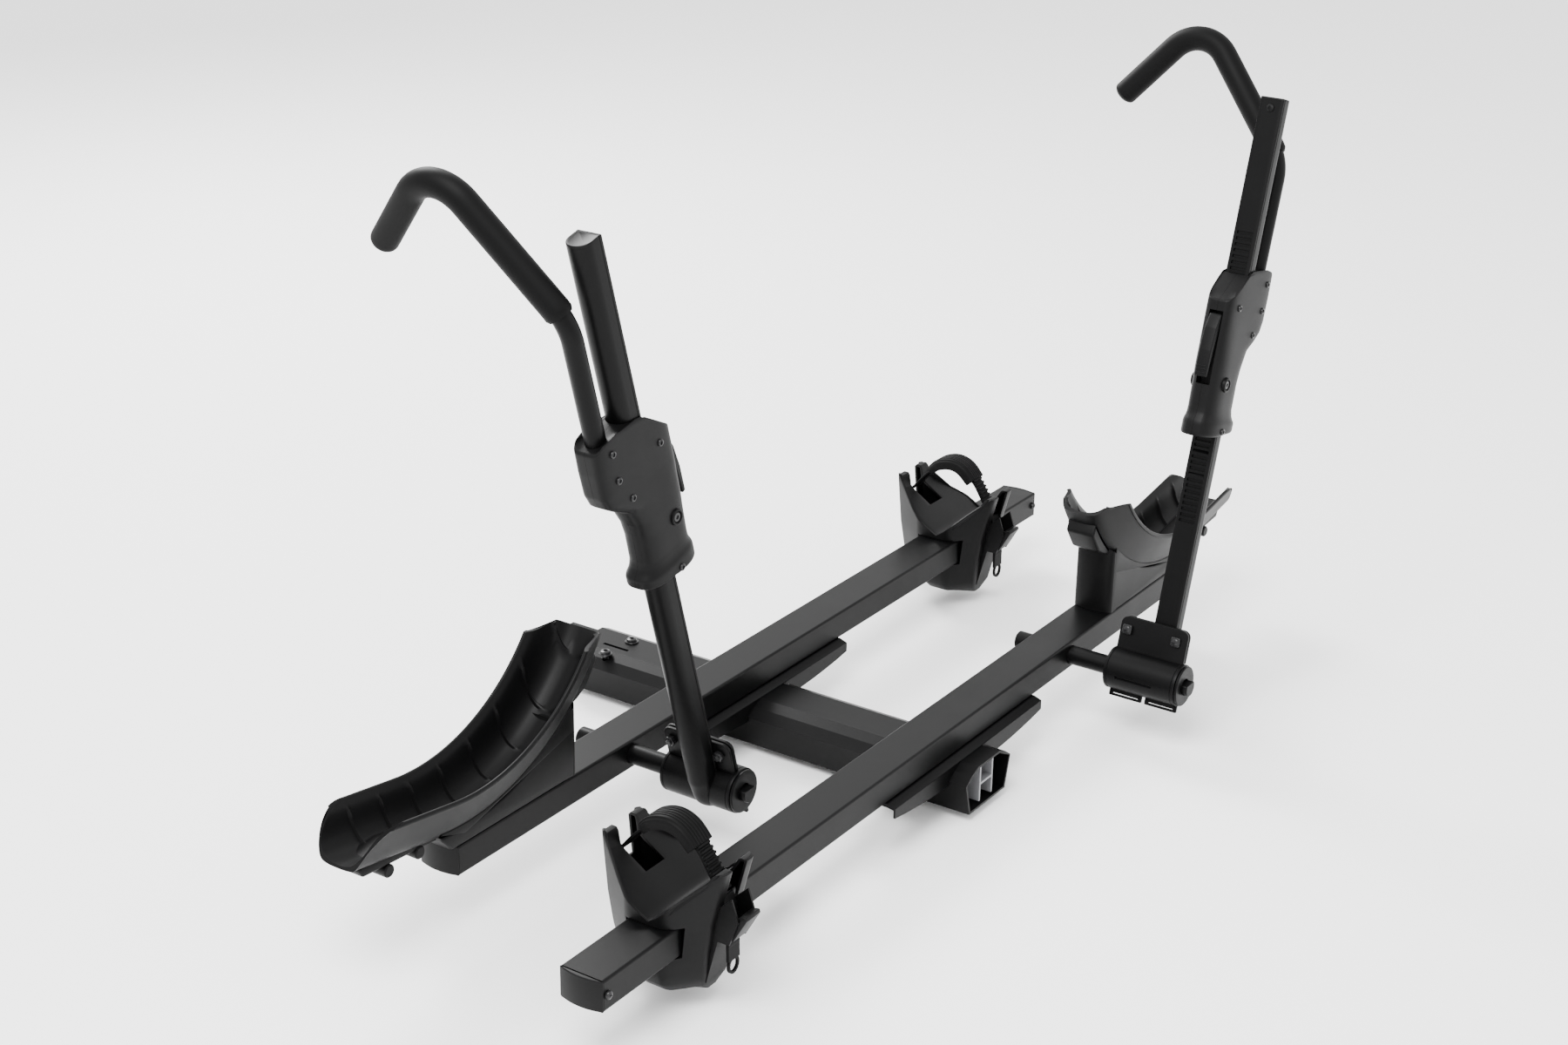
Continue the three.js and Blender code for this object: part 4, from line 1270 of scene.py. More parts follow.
# ------------------------------------------------------------------ hook
@dataclass(frozen=True)
class Hook:
    """The bent hook tube and its soft sleeve, flat in one plane of the mast frame.

    Attributes:
        place: which tray assembly.
        k: the plane's k.
        corners: (y, a) of the line's corners, in millimetres.
        bends: radii of its two bends, in millimetres.
        tube: tube radius.
        sleeve: sleeve radius.
        sleeve_start: a where the sleeve starts.
    """

    place: Place
    k: float = 67.5 * MM
    corners: tuple[tuple[float, float], ...] = ((-151, 478), (-152, 695), (-11, 863), (83.5, 752))
    bends: tuple[float, float] = (65, 48)
    tube: float = 12 * MM
    sleeve: float = 16.2 * MM
    sleeve_start: float = 702 * MM

    def path(self) -> Points:
        """The centre line: straights joined by circle arcs that touch both, evenly spaced.

        Returns:
            The points, shape (n, 3), in the mast frame.
        """
        (b0, b1), c = self.bends, self.corners
        line = rounded([(*c[0], 0), (*c[1], b0), (*c[2], b1), (*c[3], 0)], 14) * MM
        travel = np.concatenate([[0], np.cumsum(np.linalg.norm(np.diff(line, axis=0), axis=1))])
        even = np.linspace(0, travel[-1], 130)
        y, a = np.interp(even, travel, line[:, 0]), np.interp(even, travel, line[:, 1])
        return np.column_stack([np.full(len(y), self.k), y, a])

    def sleeve_skin(self) -> Skin:
        """The sleeve: a round profile whose width eases in at the start and closes at the tip.

        The last stations follow a quarter circle, so the tip is rounded.

        Returns:
            The closed sleeve, in the mast frame.
        """
        path = self.path()
        start = int(np.argmax(path[:, 2] > self.sleeve_start))
        path = path[start:]
        direction = path[-1] - path[-2]
        direction /= np.linalg.norm(direction)
        end = path[-1]
        turns = np.linspace(0, np.pi / 2, 8)[1:]
        close = end + direction * (self.sleeve * 0.55) * np.sin(turns)[:, None]
        widths = np.concatenate([np.ones(len(path)), np.cos(turns) * 0.98 + 0.02])
        widths[0] = 0.86
        first = path[0] - (path[1] - path[0]) * 0.02
        path = np.vstack([first, path, close])
        widths = np.concatenate([[0.78], widths])
        return swept(path, widths, np.array([1.0, 0, 0]), circle(self.sleeve, 36))

    def build(self) -> None:
        """Builds tube and sleeve in place of their CAD nodes."""
        body = self.place.name("slider")
        path = self.path()
        widths = np.ones(len(path) - 1)
        tube = swept(path[:-1], widths, np.array([1.0, 0, 0]), circle(self.tube, 32))
        node = self.place.name("hook_tube")
        make_piece(f"{node}_bend", placed([tube], self.place, mast=True), Slot.STEEL, body, [node])
        node = self.place.name("hook_sleeve")
        sleeve = placed([self.sleeve_skin()], self.place, mast=True)
        make_piece(f"{node}_grip", sleeve, Slot.RUBBER, body, [node])


# ------------------------------------------------------------------ housing and lever
@dataclass(frozen=True)
class Housing:
    """The sliding housing's halves, their screws, the lock and the release lever.

    Attributes:
        place: which tray assembly.
        middle: y of the housing's middle.
        screws: (k, a, distance from the middle) of each screw, in millimetres.
        levels: heights at which the next four rows hold, in millimetres.
        front_k: k of the front.
        back_k: k of the back.
        half_y: half the width.
        squareness: power of the outline, 2 for an oval and more for a squarer one.
        pocket: low and high end of the lever's window, and k of its floor.
        lock: (k, a) of the lock.
        edge: radius of the rims.
    """

    place: Place
    middle: float = MAST_Y
    screws: tuple[tuple[float, float, float], ...] = (
        (66.6, 534, 19.6), (66, 499, 19.6), (50.4, 466, 19.8), (-11, 499, 19.6), (2, 337.5, 24.7))
    levels: tuple[float, ...] = (328, 333, 345, 350, 351.5, 354, 358, 366, 400, 420, 445, 458, 470,
                                 486, 520, 553)
    front_k: tuple[float, ...] = (-37, -39.5, -39.5, -38.5, -37, -36.5, -35, -34.5, -36, -37, -37,
                                  -37, -37, -37, -37, -37)
    back_k: tuple[float, ...] = (55, 57.5, 57.5, 56.5, 54.5, 53, 49, 45.5, 44, 46, 55, 72, 85, 90,
                                 90.5, 89)
    half_y: tuple[float, ...] = (23, 25, 25, 24.4, 23.4, 23, 22.2, 21.6, 21.6, 21.8, 21, 20.6, 20.2,
                                 20, 20, 20)
    squareness: tuple[float, ...] = (2.8, 2.8, 2.8, 2.8, 2.8, 2.8, 2.9, 3, 3.1, 3.3, 3.8, 4.6, 5.2,
                                     5.6, 5.6, 5.6)
    pocket: tuple[float, float, float] = (396 * MM, 492 * MM, -21 * MM)
    lock: tuple[float, float] = (-9.5 * MM, 399 * MM)
    edge: float = 4 * MM

    def roof(self, k: Points) -> Points:
        """Height of the slanted roof at k."""
        return np.interp(k, np.array([-37, -30, 3, 12, 61, 80, 90]) * MM,
                         np.array([508, 514, 544, 547, 553, 551, 544]) * MM)

    def passage(self, count: int) -> Points:
        """Half of the mast's passage as (k, distance from the middle), front to back.

        Args:
            count: how many points to give.

        Returns:
            The points, evenly spaced, shape (count, 2).
        """
        t = np.linspace(np.pi / 2, 0, 14)
        arc = np.column_stack([21 + 16.7 * np.cos(t), 16.7 * np.sin(t)])
        line = np.vstack([[[4.4, 0]], [[4.4, 16.7]], arc]) * MM
        travel = np.concatenate([[0], np.cumsum(np.linalg.norm(np.diff(line, axis=0), axis=1))])
        even = np.linspace(0, travel[-1], count)
        return np.column_stack([np.interp(even, travel, line[:, i]) for i in range(2)])

    def half_skin(self, turn: float) -> Skin:
        """One half of the housing, a wall between its outside and the mast's passage.

        The outside at level a is a rounded rectangle |k'/h|^e + |y/w|^e = 1, whose half depth h,
        half width w and squareness e follow the level. Its stations run from the front seam to
        the back seam. Each station is a closed loop: up the passage, out across the roof, over
        the rounded rim, down the outside and back in underneath. The window in front is pressed
        in for the lever.

        Args:
            turn: -1 for the half toward -y, +1 for the other.

        Returns:
            The surface, in the mast frame.
        """
        near = np.array([0.0, 4.7, 9.3, 9.5]) * MM
        angle = np.linspace(0.42, np.pi, 46)
        count = len(near) + len(angle)
        inner = self.passage(count)
        level = np.array(self.levels) * MM
        low, high, depth = self.pocket
        rows = np.concatenate([np.arange(333, 530, 2.5), [534, 539, 544, 547],
                               [low / MM - 0.1, low / MM + 0.1, high / MM - 0.1, high / MM + 0.1]])
        rows = np.sort(rows) * MM
        front = np.interp(rows, level, np.array(self.front_k) * MM)[:, None]
        back = np.interp(rows, level, np.array(self.back_k) * MM)[:, None]
        wide = np.interp(rows, level, np.array(self.half_y) * MM)[:, None]
        power = np.interp(rows, level, self.squareness)[:, None]
        centre, reach = (front + back) / 2, (back - front) / 2
        cos, sin = np.cos(angle)[None, :], np.abs(np.sin(angle))[None, :]
        k_round = centre - reach * np.sign(cos) * np.abs(cos) ** (2 / power)
        y_round = wide * sin ** (2 / power)
        k_near = centre - reach * (1 - (near[None, :] / wide) ** power) ** (1 / power)
        k = np.concatenate([k_near, k_round], axis=1)
        y = np.concatenate([np.broadcast_to(near, k_near.shape), y_round], axis=1)
        y[:, -1] = 0
        k = np.where((rows[:, None] > low) & (rows[:, None] < high)
                     & (np.arange(count)[None, :] < 3), depth, k)
        top = np.minimum(self.roof(k), 553 * MM) - self.edge
        foot = (328 + 4) * MM + 9 * MM * (k + 39 * MM) / (96 * MM)
        share_up = np.clip((rows[:, None] - 492.5 * MM) / (547 - 492.5) / MM, 0, 1)
        share_down = np.clip((352 * MM - rows[:, None]) / (352 - 333) / MM, 0, 1)
        a = rows[:, None] + share_up * (top - 547 * MM) + share_down * (foot - 333 * MM)
        outside = np.stack([k, y, a], axis=-1)

        def rim(edge: Points, middle: Points, rise: float) -> list[Points]:
            """Rings round a quarter circle from an edge toward the passage, up or down."""
            loops = []
            for t in np.linspace(0, np.pi / 2, 6)[1:]:
                pull = self.edge * (1 - math.cos(t))
                toward = middle - edge[:, :2]
                toward /= np.maximum(np.linalg.norm(toward, axis=1, keepdims=True), TINY)
                flat = edge[:, :2] + toward * pull
                loops.append(np.column_stack([flat, edge[:, 2] + rise * self.edge * math.sin(t)]))
            return loops

        top_rim = rim(outside[-1], inner, 1.0)
        foot_rim = rim(outside[0], inner, -1.0)

        def across(edge: Points) -> list[Points]:
            """Rings straight from an edge to the passage."""
            return [np.column_stack([edge[:, :2] + (inner - edge[:, :2]) * share, edge[:, 2]
                                     + (self.level_at(inner, edge) - edge[:, 2]) * share])
                    for share in (0.3, 0.65, 1.0)]

        roof, floor = across(top_rim[-1]), across(foot_rim[-1])
        passage = [floor[-1] + (roof[-1] - floor[-1]) * share for share in (0.25, 0.5, 0.75)]
        loop = [floor[-1], *passage, *roof[::-1], *top_rim[::-1], *outside[::-1], *foot_rim,
                *floor[:-1]]
        stations = np.stack(loop, axis=1)
        stations[..., 1] = self.middle + turn * (stations[..., 1] + 0.12 * MM)
        return loft(stations)

    def level_at(self, inner: Points, edge: Points) -> Points:
        """Height of the passage's rim: the edge's own slant, read at the passage's k.

        Args:
            inner: the passage, (k, distance).
            edge: the edge, (k, distance, height).

        Returns:
            One height for each point of the passage.
        """
        order = np.argsort(edge[:, 0])
        return np.interp(inner[:, 0], edge[order, 0], edge[order, 2])

    def lever_skins(self) -> list[Skin]:
        """The lever: a curved blade with three grip ribs near its tip, and its pivot stubs.

        Returns:
            The blade, the stub and the ribs, in the mast frame.
        """
        outline = rounded([(-25, 488, 3), (-37, 489, 5), (-45, 470, 10), (-49, 440, 8),
                           (-49.5, 406, 1.5), (-44, 405, 1), (-40, 440, 8), (-36, 462, 6),
                           (-27, 476, 3)]) * MM
        half = 8.5 * MM
        blade = slab(outline, MAST_Y - half, MAST_Y + half, 1.8 * MM).moved(zxy)
        ribs = [
            slab(rounded([(-50.4, a, 0.5), (-50.4, a + 1.8, 0.5), (-47, a + 1.8, 0.2),
                          (-47, a, 0.2)], 3) * MM, -157.5 * MM, -144.5 * MM, 0.5 * MM).moved(zxy)
            for a in (410, 414.5, 419)
        ]
        stub = revolved(np.array([(0, -160), (2.5, -160), (2.5, -142), (0, -142)]) * MM,
                        24).moved(lambda p: p[..., [0, 2, 1]] + [-31 * MM, 0, 481 * MM])
        return [blade, stub, *ribs]

    def lock_skins(self) -> list[Skin]:
        """The lock plug with its keyway rim, turned about Y.

        Returns:
            The plug, in the mast frame.
        """
        rim = np.array([(0, -170), (6, -170), (6, -173.6), (5.2, -174.5), (2.6, -174.5),
                        (2.2, -173.2), (0, -173.2)])
        return [revolved(rim * MM, 40).moved(
            lambda p: p[..., [0, 2, 1]] + [self.lock[0], 0, self.lock[1]])]

    def bezel(self, y: float, turn: float) -> Skin:
        """The rounded ring round the lock boss.

        Args:
            y: y of its foot, in millimetres.
            turn: -1 toward -y, +1 the other way.

        Returns:
            The closed ring, in the mast frame.
        """
        rim = [(6.7, y), (6.7, y + turn * 3.4), (7.4, y + turn * 4.1), (8.6, y + turn * 4.1),
               (9.7, y + turn * 3.2), (10, y)]
        return ring_of(np.array(rim) * MM, 48).moved(
            lambda p: p[..., [0, 2, 1]] + [self.lock[0], 0, self.lock[1]])

    def build(self) -> None:
        """Builds lever, lock, bezels, screws and both halves."""
        place = self.place
        node = place.name("release_lever")
        lever = placed(self.lever_skins(), place, mast=True)
        make_piece(f"{node}_blade", lever, Slot.PLASTIC, place.name("lever"), [node])
        node = place.name("lock_plug")
        lock = placed(self.lock_skins(), place, mast=True)
        make_piece(f"{node}_core", lock, Slot.FASTENER, place.name("lock"), [node])
        bezels = placed([self.bezel(-171.5, -1), self.bezel(-130.5, 1)], place, mast=True)
        make_piece(place.name("lock_bezel"), bezels, Slot.PLASTIC, place.name("slider"))
        screw = Screw(4.3 * MM, 2.6 * MM, 2.4 * MM, 6, 1.6 * MM, 4 * MM)
        heads = [
            screw.skin((k * MM, self.middle + turn * (y + 0.2) * MM, a * MM), (0, turn, 0))
            for turn in (-1.0, 1.0) for k, a, y in self.screws
        ]
        make_piece(place.name("housing_screws"), placed(heads, place, mast=True), Slot.FASTENER,
                   place.name("slider"))
        for stem, turn in (("housing_front", -1.0), ("housing_rear", 1.0)):
            node = place.name(stem)
            half = placed([self.half_skin(turn)], place, mast=True)
            make_piece(f"{node}_shell", half, Slot.PLASTIC, place.name("slider"), [node], 50)

    def dress(self) -> None:
        """Finishes the pawl."""
        dress(self.place.name("pawl"), Slot.FASTENER, 0.4 * MM)


# ------------------------------------------------------------------ holder, strap and buckle
@dataclass(frozen=True)
class WheelHolder:
    """The moulded holder that slides on the tray: a valley for the tyre between four prongs.

    Attributes:
        x: middle of the holder along the tray.
        half: half its length; not used.
        reach: clearance half width of the tray passage.
        foot: height of its underside.
        passage: heights of the tray passage's floor and roof.
        wall: wall thickness.
    """

    place: Place
    x: float = -555 * MM
    half: float = 66 * MM
    reach: float = 29.4 * MM
    foot: float = -93 * MM
    passage: tuple[float, float] = (-38.8 * MM, 0.8 * MM)
    wall: float = 3.2 * MM

    def rim_height(self, y: Points) -> Points:
        """Height of the valley and prongs across the tray, in metres.

        It joins points by straights: prong tip, slope, valley floor, slope, tip.

        Args:
            y: places across the tray.

        Returns:
            One height for each.
        """
        knots = np.array([(-72, 66), (-63, 66), (-60.5, 64), (-52, 50), (-40, 38), (-24, 22),
                          (-9, 9), (-3, 6), (2, 5.5), (8, 8), (70, 47), (76, 53), (78.5, 69),
                          (81, 72), (90, 72)]) * MM
        return np.interp(y, knots[:, 0], knots[:, 1])

    def plan(self) -> Points:
        """The rim's outline from above, with points where the windows and passage begin.

        Returns:
            The outline, shape (n, 2), round the holder's own middle.
        """
        outline = rounded([(66, 30, 26), (30, 88, 5), (-30, 88, 5), (-66, 30, 26), (-66, -24, 26),
                           (-26, -70, 9), (26, -70, 9), (66, -24, 26)], 9) * MM
        cuts = [(0, 17), (0, -17), (0, 13.5), (0, -13.5), (1, 29.4), (1, -29.4), (1, 50), (1, 0),
                (1, -45)]
        for axis, value in cuts:
            ahead = np.roll(outline, -1, axis=0)
            share = (value * MM - outline[:, axis]) / (ahead[:, axis] - outline[:, axis] + 1e-12)
            extra = outline + (ahead - outline) * share[:, None]
            hit = (share > 0.02) & (share < 0.98)
            slots = np.arange(len(outline))
            order = np.argsort(np.concatenate([slots, slots[hit] + 0.5]))
            outline = np.concatenate([outline, extra[hit]])[order]
        return outline

    def shell(self) -> Skin:
        """Walls and valley as one open sheet, windows and tray passage left out.

        The walls are rings from the rim down: each keeps the plan's shape while its half length,
        its +y reach and its -y reach follow three curves of height. The valley is a grid of rows
        across the rim's outline at the rim's height.

        Returns:
            The open sheet, in the tray frame.
        """
        plan = self.plan()
        rim = self.rim_height(plan[:, 1])
        floor, (sill, lintel) = self.foot, self.passage
        level = np.ones(len(plan))
        bands = np.stack([
            *[level * (floor + (sill - floor) * s) for s in (0, 0.18, 0.38, 0.6, 0.8)],
            *[level * (sill + 39.6 * MM * s) for s in (0, 0.25, 0.5, 0.75)],
            *[lintel + (rim - lintel) * s for s in (0, 0.16, 0.31, 0.5, 0.7, 0.85, 1)],
        ])
        levels = np.array([-93, -87, -76, -56, -38, 0, 70]) * MM
        length = np.interp(bands, levels, [0.30, 0.66, 0.86, 0.95, 0.985, 1.0, 1.0])
        plus = np.interp(bands, levels, np.array([26, 44, 60, 69, 74, 81, 88]) / 88)
        minus = np.interp(bands, levels, np.array([34, 37, 39.5, 42, 44.5, 51.5, 70]) / 70)
        y = plan[:, 1] * np.where(plan[:, 1] > 0, plus, minus)
        walls = lattice(np.stack([plan[:, 0] * length, y, bands], axis=-1), wrap_cols=True)
        base = lattice(np.stack([
            np.column_stack([plan[:, 0] * 0.30 * s, y[0] * s + 2 * MM * (1 - s),
                             np.full(len(plan), floor)])
            for s in (1.0, 0.6, 0.02)]), wrap_cols=True)
        rows = np.unique(np.concatenate([np.linspace(-70, 88, 66), [-36, 41]])) * MM
        order = np.argsort(plan[:, 1])
        right = plan[:, 0] > 0
        half = np.interp(rows, plan[order][right[order], 1], plan[order][right[order], 0])
        fixed = np.array([-17, -13.5, 0, 13.5, 17]) * MM
        shares = np.linspace(0, 1, 7)[1:]
        cols = [-17 * MM - (half[:, None] - 17 * MM) * shares[::-1],
                np.broadcast_to(fixed, (len(rows), 5)),
                17 * MM + (half[:, None] - 17 * MM) * shares]
        across = np.concatenate(cols, axis=1)
        height = np.broadcast_to(self.rim_height(rows)[:, None], across.shape)
        grid = np.stack([across, np.broadcast_to(rows[:, None], across.shape), height], axis=-1)
        valley = lattice(grid)
        reach = self.reach
        sheet = joined([walls.flipped(), base, valley])
        far = 1.0
        for low, high in (
            ((-17 * MM, 41 * MM, 22 * MM), (17 * MM, far, far)),
            ((-13.5 * MM, -far, 19 * MM), (13.5 * MM, -36 * MM, far)),
            ((-far, -reach, sill), (far, reach, lintel)),
        ):
            sheet = sheet.without(low, high)
        return sheet.moved(lambda p: p + [self.x, 0, 0])

    def build(self) -> None:
        """Builds the shell, thickened inward, in place of its CAD node."""
        sheet = self.shell().moved(self.place.row)
        if self.place.sign < 0:
            sheet = sheet.flipped()
        node = self.place.name("wheel_holder")
        body = self.place.name("holder")
        piece = make_piece(f"{node}_shell", sheet, Slot.PLASTIC, body, [node], 50)
        weld = piece.modifiers.new("weld", "WELD")
        weld.merge_threshold = 0.02 * MM
        thick = piece.modifiers.new("wall", "SOLIDIFY")
        thick.thickness = self.wall
        thick.offset = -1
        thick.use_even_offset = True
        edge = piece.modifiers.new("edges", "BEVEL")
        edge.width = 0.9 * MM
        edge.segments = 3
        edge.limit_method = "ANGLE"
        edge.angle_limit = math.radians(35)


@dataclass(frozen=True)
class Strap:
    """The ladder strap over the tyre, its tail, and the ribbed pad.

    Attributes:
        x: middle of the strap along the tray.
        half: half its width.
        thick: its thickness.
        line: centre line (y, z) from the anchor to the buckle's mouth, in millimetres.
        tail: centre line (y, z) of the tail, in millimetres.
        rung: spacing of the teeth.
        rib: spacing of the pad's grooves.
    """

    place: Place
    x: float = HOLDER_X
    half: float = 11 * MM
    thick: float = 4 * MM
    line: tuple[tuple[float, float], ...] = ((78, 45), (50, 76), (13, 98), (-22, 78), (-42, 50),
                                             (-55, 31.5))
    tail: tuple[tuple[float, float], ...] = ((-56.8, 28.2), (-62, 10), (-65, -20), (-66, -50))
    rung: float = 6.4 * MM
    rib: float = 4.6 * MM

    def ribbon(self, knots: Sequence[Sequence[float]], count: int, teeth: tuple[float, float],
               rise: float) -> Skin:
        """A strap with teeth on its outer face.

        The section is a flat bar. Along the teeth's span of the length, the outer face rises in
        rounded rungs: 0.5 + 0.5 clip(2.2 sin(2 pi s / spacing)), times the rise.

        Args:
            knots: centre line (y, z), in millimetres.
            count: stations along it.
            teeth: where the teeth start and end, as shares of the length.
            rise: height of a rung.

        Returns:
            The closed strap, in the tray frame.
        """
        flat = smooth_line(knots, count) * MM
        travel = np.linspace(0, 1, count)
        length = float(np.linalg.norm(np.diff(flat, axis=0), axis=1).sum())
        wave = np.clip(np.sin(travel * length / self.rung * 2 * np.pi) * 2.2, -1, 1) * 0.5 + 0.5
        tooth = wave * ((travel > teeth[0]) & (travel < teeth[1]))
        tangent = np.gradient(flat, axis=0)
        tangent /= np.linalg.norm(tangent, axis=1, keepdims=True)
        out = np.column_stack([tangent[:, 1], -tangent[:, 0]])
        h, t = self.half, self.thick / 2
        across = np.array([-h, -h, -h + 0.9 * MM, -h + 2 * MM, 0, h - 2 * MM, h - 0.9 * MM, h, h,
                           h - 1 * MM, -h + 1 * MM])
        lift = np.array([-t + 0.8 * MM, t - 0.8 * MM, t, t, t, t, t, t - 0.8 * MM, -t + 0.8 * MM,
                         -t, -t])
        crest = np.array([0, 0.8, 1, 1, 1, 1, 1, 0.8, 0, 0, 0]) * rise
        height = lift[None, :] + crest[None, :] * tooth[:, None]
        yz = flat[:, None, :] + out[:, None, :] * height[..., None]
        xs = np.broadcast_to(self.x + across, height.shape)
        return loft(np.concatenate([xs[..., None], yz], axis=-1))

    def pad_skin(self) -> Skin:
        """The pad: a deep arch over the strap, its back ribbed along the strap.

        Across the pad, the back is flat with grooves 0.9 mm deep and its sides turn down over
        the strap; the depth swells in the middle of its length.

        Returns:
            The closed pad, in the tray frame.
        """
        count = 90
        line = smooth_line([(49, 79), (34, 92), (13, 98), (-6, 93), (-23, 77)], count) * MM
        tangent = np.gradient(line, axis=0)
        tangent /= np.linalg.norm(tangent, axis=1, keepdims=True)
        out = np.column_stack([-tangent[:, 1], tangent[:, 0]])
        out *= np.sign(out[:, 1:2].mean())
        half = 18.6 * MM
        u = np.linspace(-1, 1, 61)
        grooves = np.cos(u * half / self.rib * 2 * np.pi) < -0.2
        top = 8.0 * MM * (1 - np.abs(u) ** 10) - 0.9 * MM * grooves
        bottom_u = np.linspace(1, -1, 25)
        bottom = -8.0 * MM + 2.5 * MM * (np.abs(bottom_u) < 0.62)
        width = np.concatenate([u * half, bottom_u * (half - 0.6 * MM)])
        depth = np.concatenate([top, bottom])
        swell = 0.82 + 0.18 * np.sin(np.linspace(0, np.pi, count)) ** 0.6
        swell[0], swell[-1] = 0.5, 0.66
        height = depth[None, :] * swell[:, None]
        grip = np.linspace(0, 1, count)
        narrow = np.clip(0.80 + grip * 0.9, 0, 1)[:, None]
        yz = line[:, None, :] + out[:, None, :] * height[..., None]
        xs = self.x + width[None, :] * narrow
        return loft(np.concatenate([np.broadcast_to(xs, height.shape)[..., None], yz], axis=-1))

    def loop_skin(self) -> Skin:
        """The pull loop at the tail's end: a flat bar bent into a long ring, seen from the front.

        Returns:
            The closed ring, in the tray frame.
        """
        t = np.linspace(0, 2 * np.pi, 49)[:-1]
        centre = np.array([self.x, -66 * MM, -57 * MM])
        radius_x, radius_z = 8.4 * MM, 9.5 * MM
        ring = []
        for wider, deeper in ((-1.6, -1.6), (1.6, -1.6), (1.6, 1.6), (-1.6, 1.6)):
            ring.append(np.column_stack([
                centre[0] + (radius_x + wider * MM) * np.cos(t),
                np.full(len(t), centre[1] + deeper * MM),
                centre[2] + (radius_z + wider * MM) * np.sin(t)]))
        return lattice(np.stack(ring), wrap_rows=True, wrap_cols=True).outward()

    def build(self) -> None:
        """Builds strap, tail and pad in place of their CAD nodes."""
        place = self.place
        node = place.name("ladder_strap")
        strap = self.ribbon(self.line, 260, (0.62, 0.93), 2.6 * MM)
        make_piece(f"{node}_band", placed([strap], place), Slot.RUBBER, place.name("strap"), [node])
        node = place.name("strap_tail")
        tail = self.ribbon(self.tail, 140, (0.1, 0.8), 0.3 * MM)
        make_piece(f"{node}_band", placed([tail, self.loop_skin()], place), Slot.RUBBER,
                   place.name("tail"), [node])
        node = place.name("strap_pad")
        make_piece(f"{node}_cover", placed([self.pad_skin()], place), Slot.RUBBER,
                   place.name("strap"), [node], crease=30)


@dataclass(frozen=True)
class Buckle:
    """The buckle base on the holder's wall, and its thumb lever.

    Attributes:
        place: which tray assembly.
    """

    place: Place

    def lever_skins(self) -> list[Skin]:
        """The lever: a bent plate with a turned-out thumb lip and a stiffening rib.

        Returns:
            The plate and the rib, in the tray frame.
        """
        outline = rounded([(-78, 8, 1), (-82, 13, 1.2), (-91, 15, 1), (-92.4, 11, 1),
                           (-75, -20, 1), (-70.5, -18, 1)], 4) * MM
        x, half = HOLDER_X, 13.8 * MM
        plate = slab(outline, x - half, x + half, 0.9 * MM).moved(yzx)
        ridge = rounded([(-83, 2, 0.5), (-86.5, 3.5, 0.5), (-80, -9, 0.5), (-77, -9, 0.5)], 2)
        rib = slab(ridge * MM, x - 5 * MM, x + 5 * MM, 0.6 * MM).moved(yzx)
        return [plate, rib]

    def build(self) -> None:
        """Builds the lever in place of its CAD node."""
        node = self.place.name("buckle_lever")
        make_piece(f"{node}_plate", placed(self.lever_skins(), self.place), Slot.PLASTIC,
                   self.place.name("buckle"), [node])

    def dress(self) -> None:
        """Finishes the base."""
        dress(self.place.name("buckle_body"), Slot.PLASTIC, 0.8 * MM)


# ------------------------------------------------------------------ spine
@dataclass(frozen=True)
class Spine:
    """The spine tube, the web in its open end, the hitch insert and the two washer bolts."""

    def build(self) -> None:
        """Builds the two bolts."""
        screw = Screw(7 * MM, 4.4 * MM, 3.4 * MM, 6, 4 * MM, 6 * MM)
        for side in ("right", "left"):
            node = f"spine_bolt_{side}"
            low, high = (np.array(c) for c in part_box(node))
            x, y = (low[:2] + high[:2]) / 2
            seat = high[2] - 6 * MM
            rim = np.array([(4.2, 0.1), (9, 0.1), (9.5, 0.6), (9.5, 1.3), (9, 1.8), (4.2, 1.8)])
            washer = ring_of(rim * MM, 40).moved(lambda p, x=x, y=y, z=seat: p + [x, y, z])
            head = screw.skin((x, y, seat + 1.8 * MM), (0, 0, 1))
            make_piece(f"{node}_set", joined([washer, head]), Slot.FASTENER, "rack", [node])

    def dress(self) -> None:
        """Finishes the tube, the web in its end and the insert."""
        dress("spine_tube", Slot.STEEL, 1.2 * MM, 20.0)
        dress("spine_bulkhead", Slot.STEEL, 0.5 * MM)
        web = frame["nodes"]["spine_bulkhead"]
        web.data.materials.clear()
        web.data.materials.append(BARE_WEB.build())
        dress("hitch_insert", Slot.STEEL, 1.5 * MM)


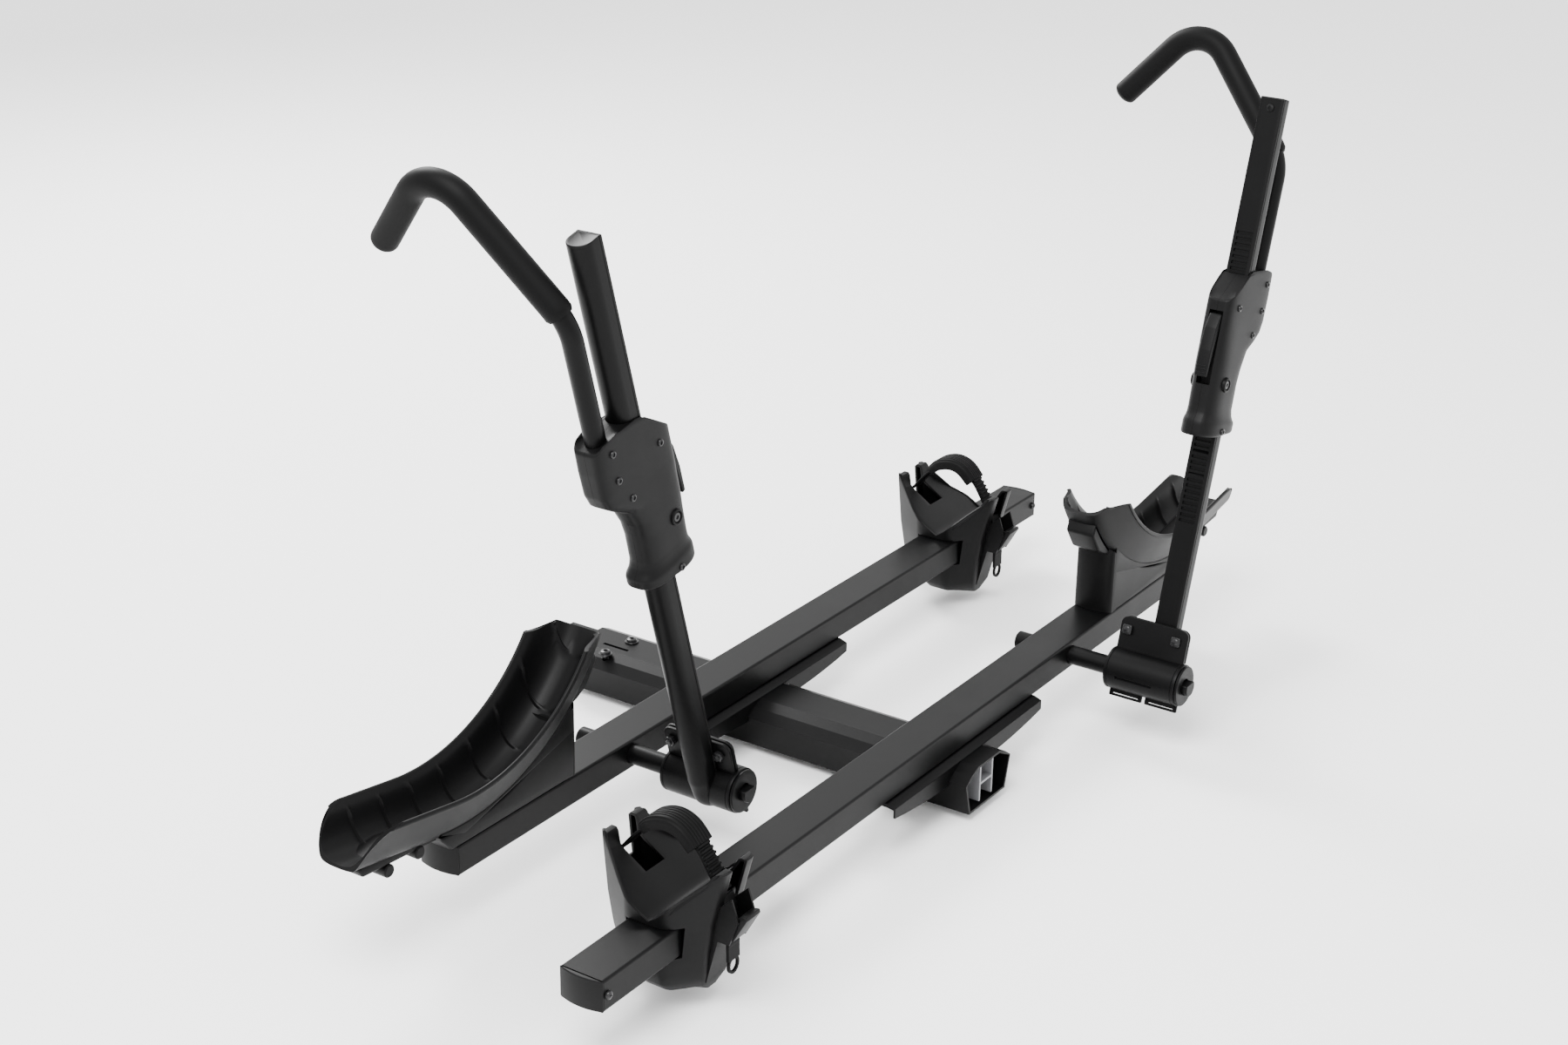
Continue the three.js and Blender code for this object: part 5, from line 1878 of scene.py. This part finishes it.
# ------------------------------------------------------------------ studio
@dataclass(frozen=True)
class Studio:
    """A plain pale floor, soft lights and the camera.

    Attributes:
        lens: focal length in millimetres.
        azimuth: the camera's heading in degrees.
        pitch: how far it looks down, in degrees.
        roll: its turn about its own line, in degrees.
        eye: its place, in the outer tray's frame.
        surround: strength of the even light.
    """

    lens: float = 57.55
    azimuth: float = 33.75
    pitch: float = 22.28
    roll: float = 0.93
    eye: tuple[float, float, float] = (-2.4782, -1.4064, 1.4224)
    surround: float = 2.2

    def floor(self) -> None:
        """The floor, just below the lowest piece."""
        graph = Graph("pale floor")
        place = graph.node("ShaderNodeTexCoord", {}, {}).outputs["Object"]
        cloud = graph.value(graph.node("ShaderNodeTexNoise", {}, {"Vector": place, "Scale": 2.0}))
        tone = graph.node("ShaderNodeMix", {"data_type": "RGBA"}, {
            "Factor": cloud, "A": (0.93, 0.93, 0.93, 1), "B": (0.95, 0.95, 0.95, 1)})
        shader = graph.node("ShaderNodeBsdfPrincipled", {}, {
            "Base Color": tone.outputs[2], "Roughness": 0.9})
        graph.node("ShaderNodeOutputMaterial", {}, {"Surface": shader.outputs["BSDF"]})
        low, reach = CAD_BOUNDS[0][2] - FLOOR_GAP, FLOOR_REACH
        mesh = bpy.data.meshes.new("floor")
        mesh.from_pydata([(-reach, -reach, low), (reach, -reach, low), (reach, reach, low),
                          (-reach, reach, low)], [], [(0, 1, 2, 3)])
        plane = bpy.data.objects.new("floor", mesh)
        bpy.context.collection.objects.link(plane)
        mesh.materials.append(graph.material)

    def light(self, name: str, power: float, size: float, at: Sequence[float],
              toward: Sequence[float]) -> None:
        """Adds a square soft light that looks at a point.

        Args:
            name: its name.
            power: its power in watts.
            size: its side.
            at: its place.
            toward: the point it looks at.
        """
        lamp = bpy.data.lights.new(name, "AREA")
        lamp.energy = power
        lamp.size = size
        holder = bpy.data.objects.new(name, lamp)
        turn = (Vector(toward) - Vector(at)).to_track_quat("-Z", "Y").to_matrix().to_4x4()
        holder.matrix_world = Matrix.Translation(at) @ turn
        bpy.context.collection.objects.link(holder)

    def lights(self) -> None:
        """A bright even surround, a key over the left shoulder and a rim from behind."""
        world = bpy.data.worlds.new("studio")
        bpy.context.scene.world = world
        world.use_nodes = True
        back = world.node_tree.nodes["Background"]
        back.inputs["Color"].default_value = (1.0, 1.0, 1.0, 1.0)
        back.inputs["Strength"].default_value = self.surround
        self.light("key", 200.0, 1.8, (-1.9, -0.9, 3.1), (0, -0.5, 0.3))
        self.light("fill", 22.0, 2.2, (1.2, -4.2, 1.8), (0, -0.5, 0.2))
        self.light("rim", 200.0, 1.4, (1.4, 2.4, 2.6), (0, -0.4, 0.4))

    def camera(self, place: Place) -> None:
        """The camera, from its angles: forward, then right and up turned by the roll.

        Args:
            place: the outer tray's place, which the eye is given from.
        """
        a, p, r = (math.radians(v) for v in (self.azimuth, self.pitch, self.roll))
        forward = Vector((math.cos(p) * math.cos(a), math.cos(p) * math.sin(a), -math.sin(p)))
        level = Vector((math.sin(a), -math.cos(a), 0))
        above = level.cross(forward)
        right = level * math.cos(r) + above * math.sin(r)
        up = right.cross(forward)
        lens = bpy.data.cameras.new("camera")
        lens.lens = self.lens
        lens.sensor_width = 36.0
        eye = bpy.data.objects.new("camera", lens)
        spot = Vector(self.eye) + Vector((0, place.centre_y, place.top_z))
        axes = Matrix((right, up, -forward)).transposed().to_4x4()
        eye.matrix_world = Matrix.Translation(spot) @ axes
        bpy.context.collection.objects.link(eye)
        bpy.context.scene.camera = eye

    def build(self, place: Place) -> None:
        """Builds the whole studio."""
        self.floor()
        self.lights()
        self.camera(place)


def write_sizes() -> None:
    """Logs a line at the end of the build; no bounds are written."""
    log.info("sizes written")


def main() -> None:
    """Builds every sub-assembly in order, then the studio."""
    logging.basicConfig(level=logging.INFO, format="%(name)s %(message)s")
    for slot, finish in FINISHES.items():
        MATERIALS[slot] = finish.build()
    spine = Spine()
    spine.build()
    spine.dress()
    for side in Side:
        place = place_of(side)
        tray, cup, pivot = Tray(place), WheelCup(place), Pivot(place)
        mast, hook, housing = Mast(place), Hook(place), Housing(place)
        holder, strap, buckle = WheelHolder(place), Strap(place), Buckle(place)
        for part in (tray, cup, pivot, mast, hook, housing, holder, strap, buckle):
            part.build()
        for part in (tray, housing, buckle):
            part.dress()
    Studio().build(place_of(Side.OUTER))
    write_sizes()


if __name__ == "__main__":
    main()
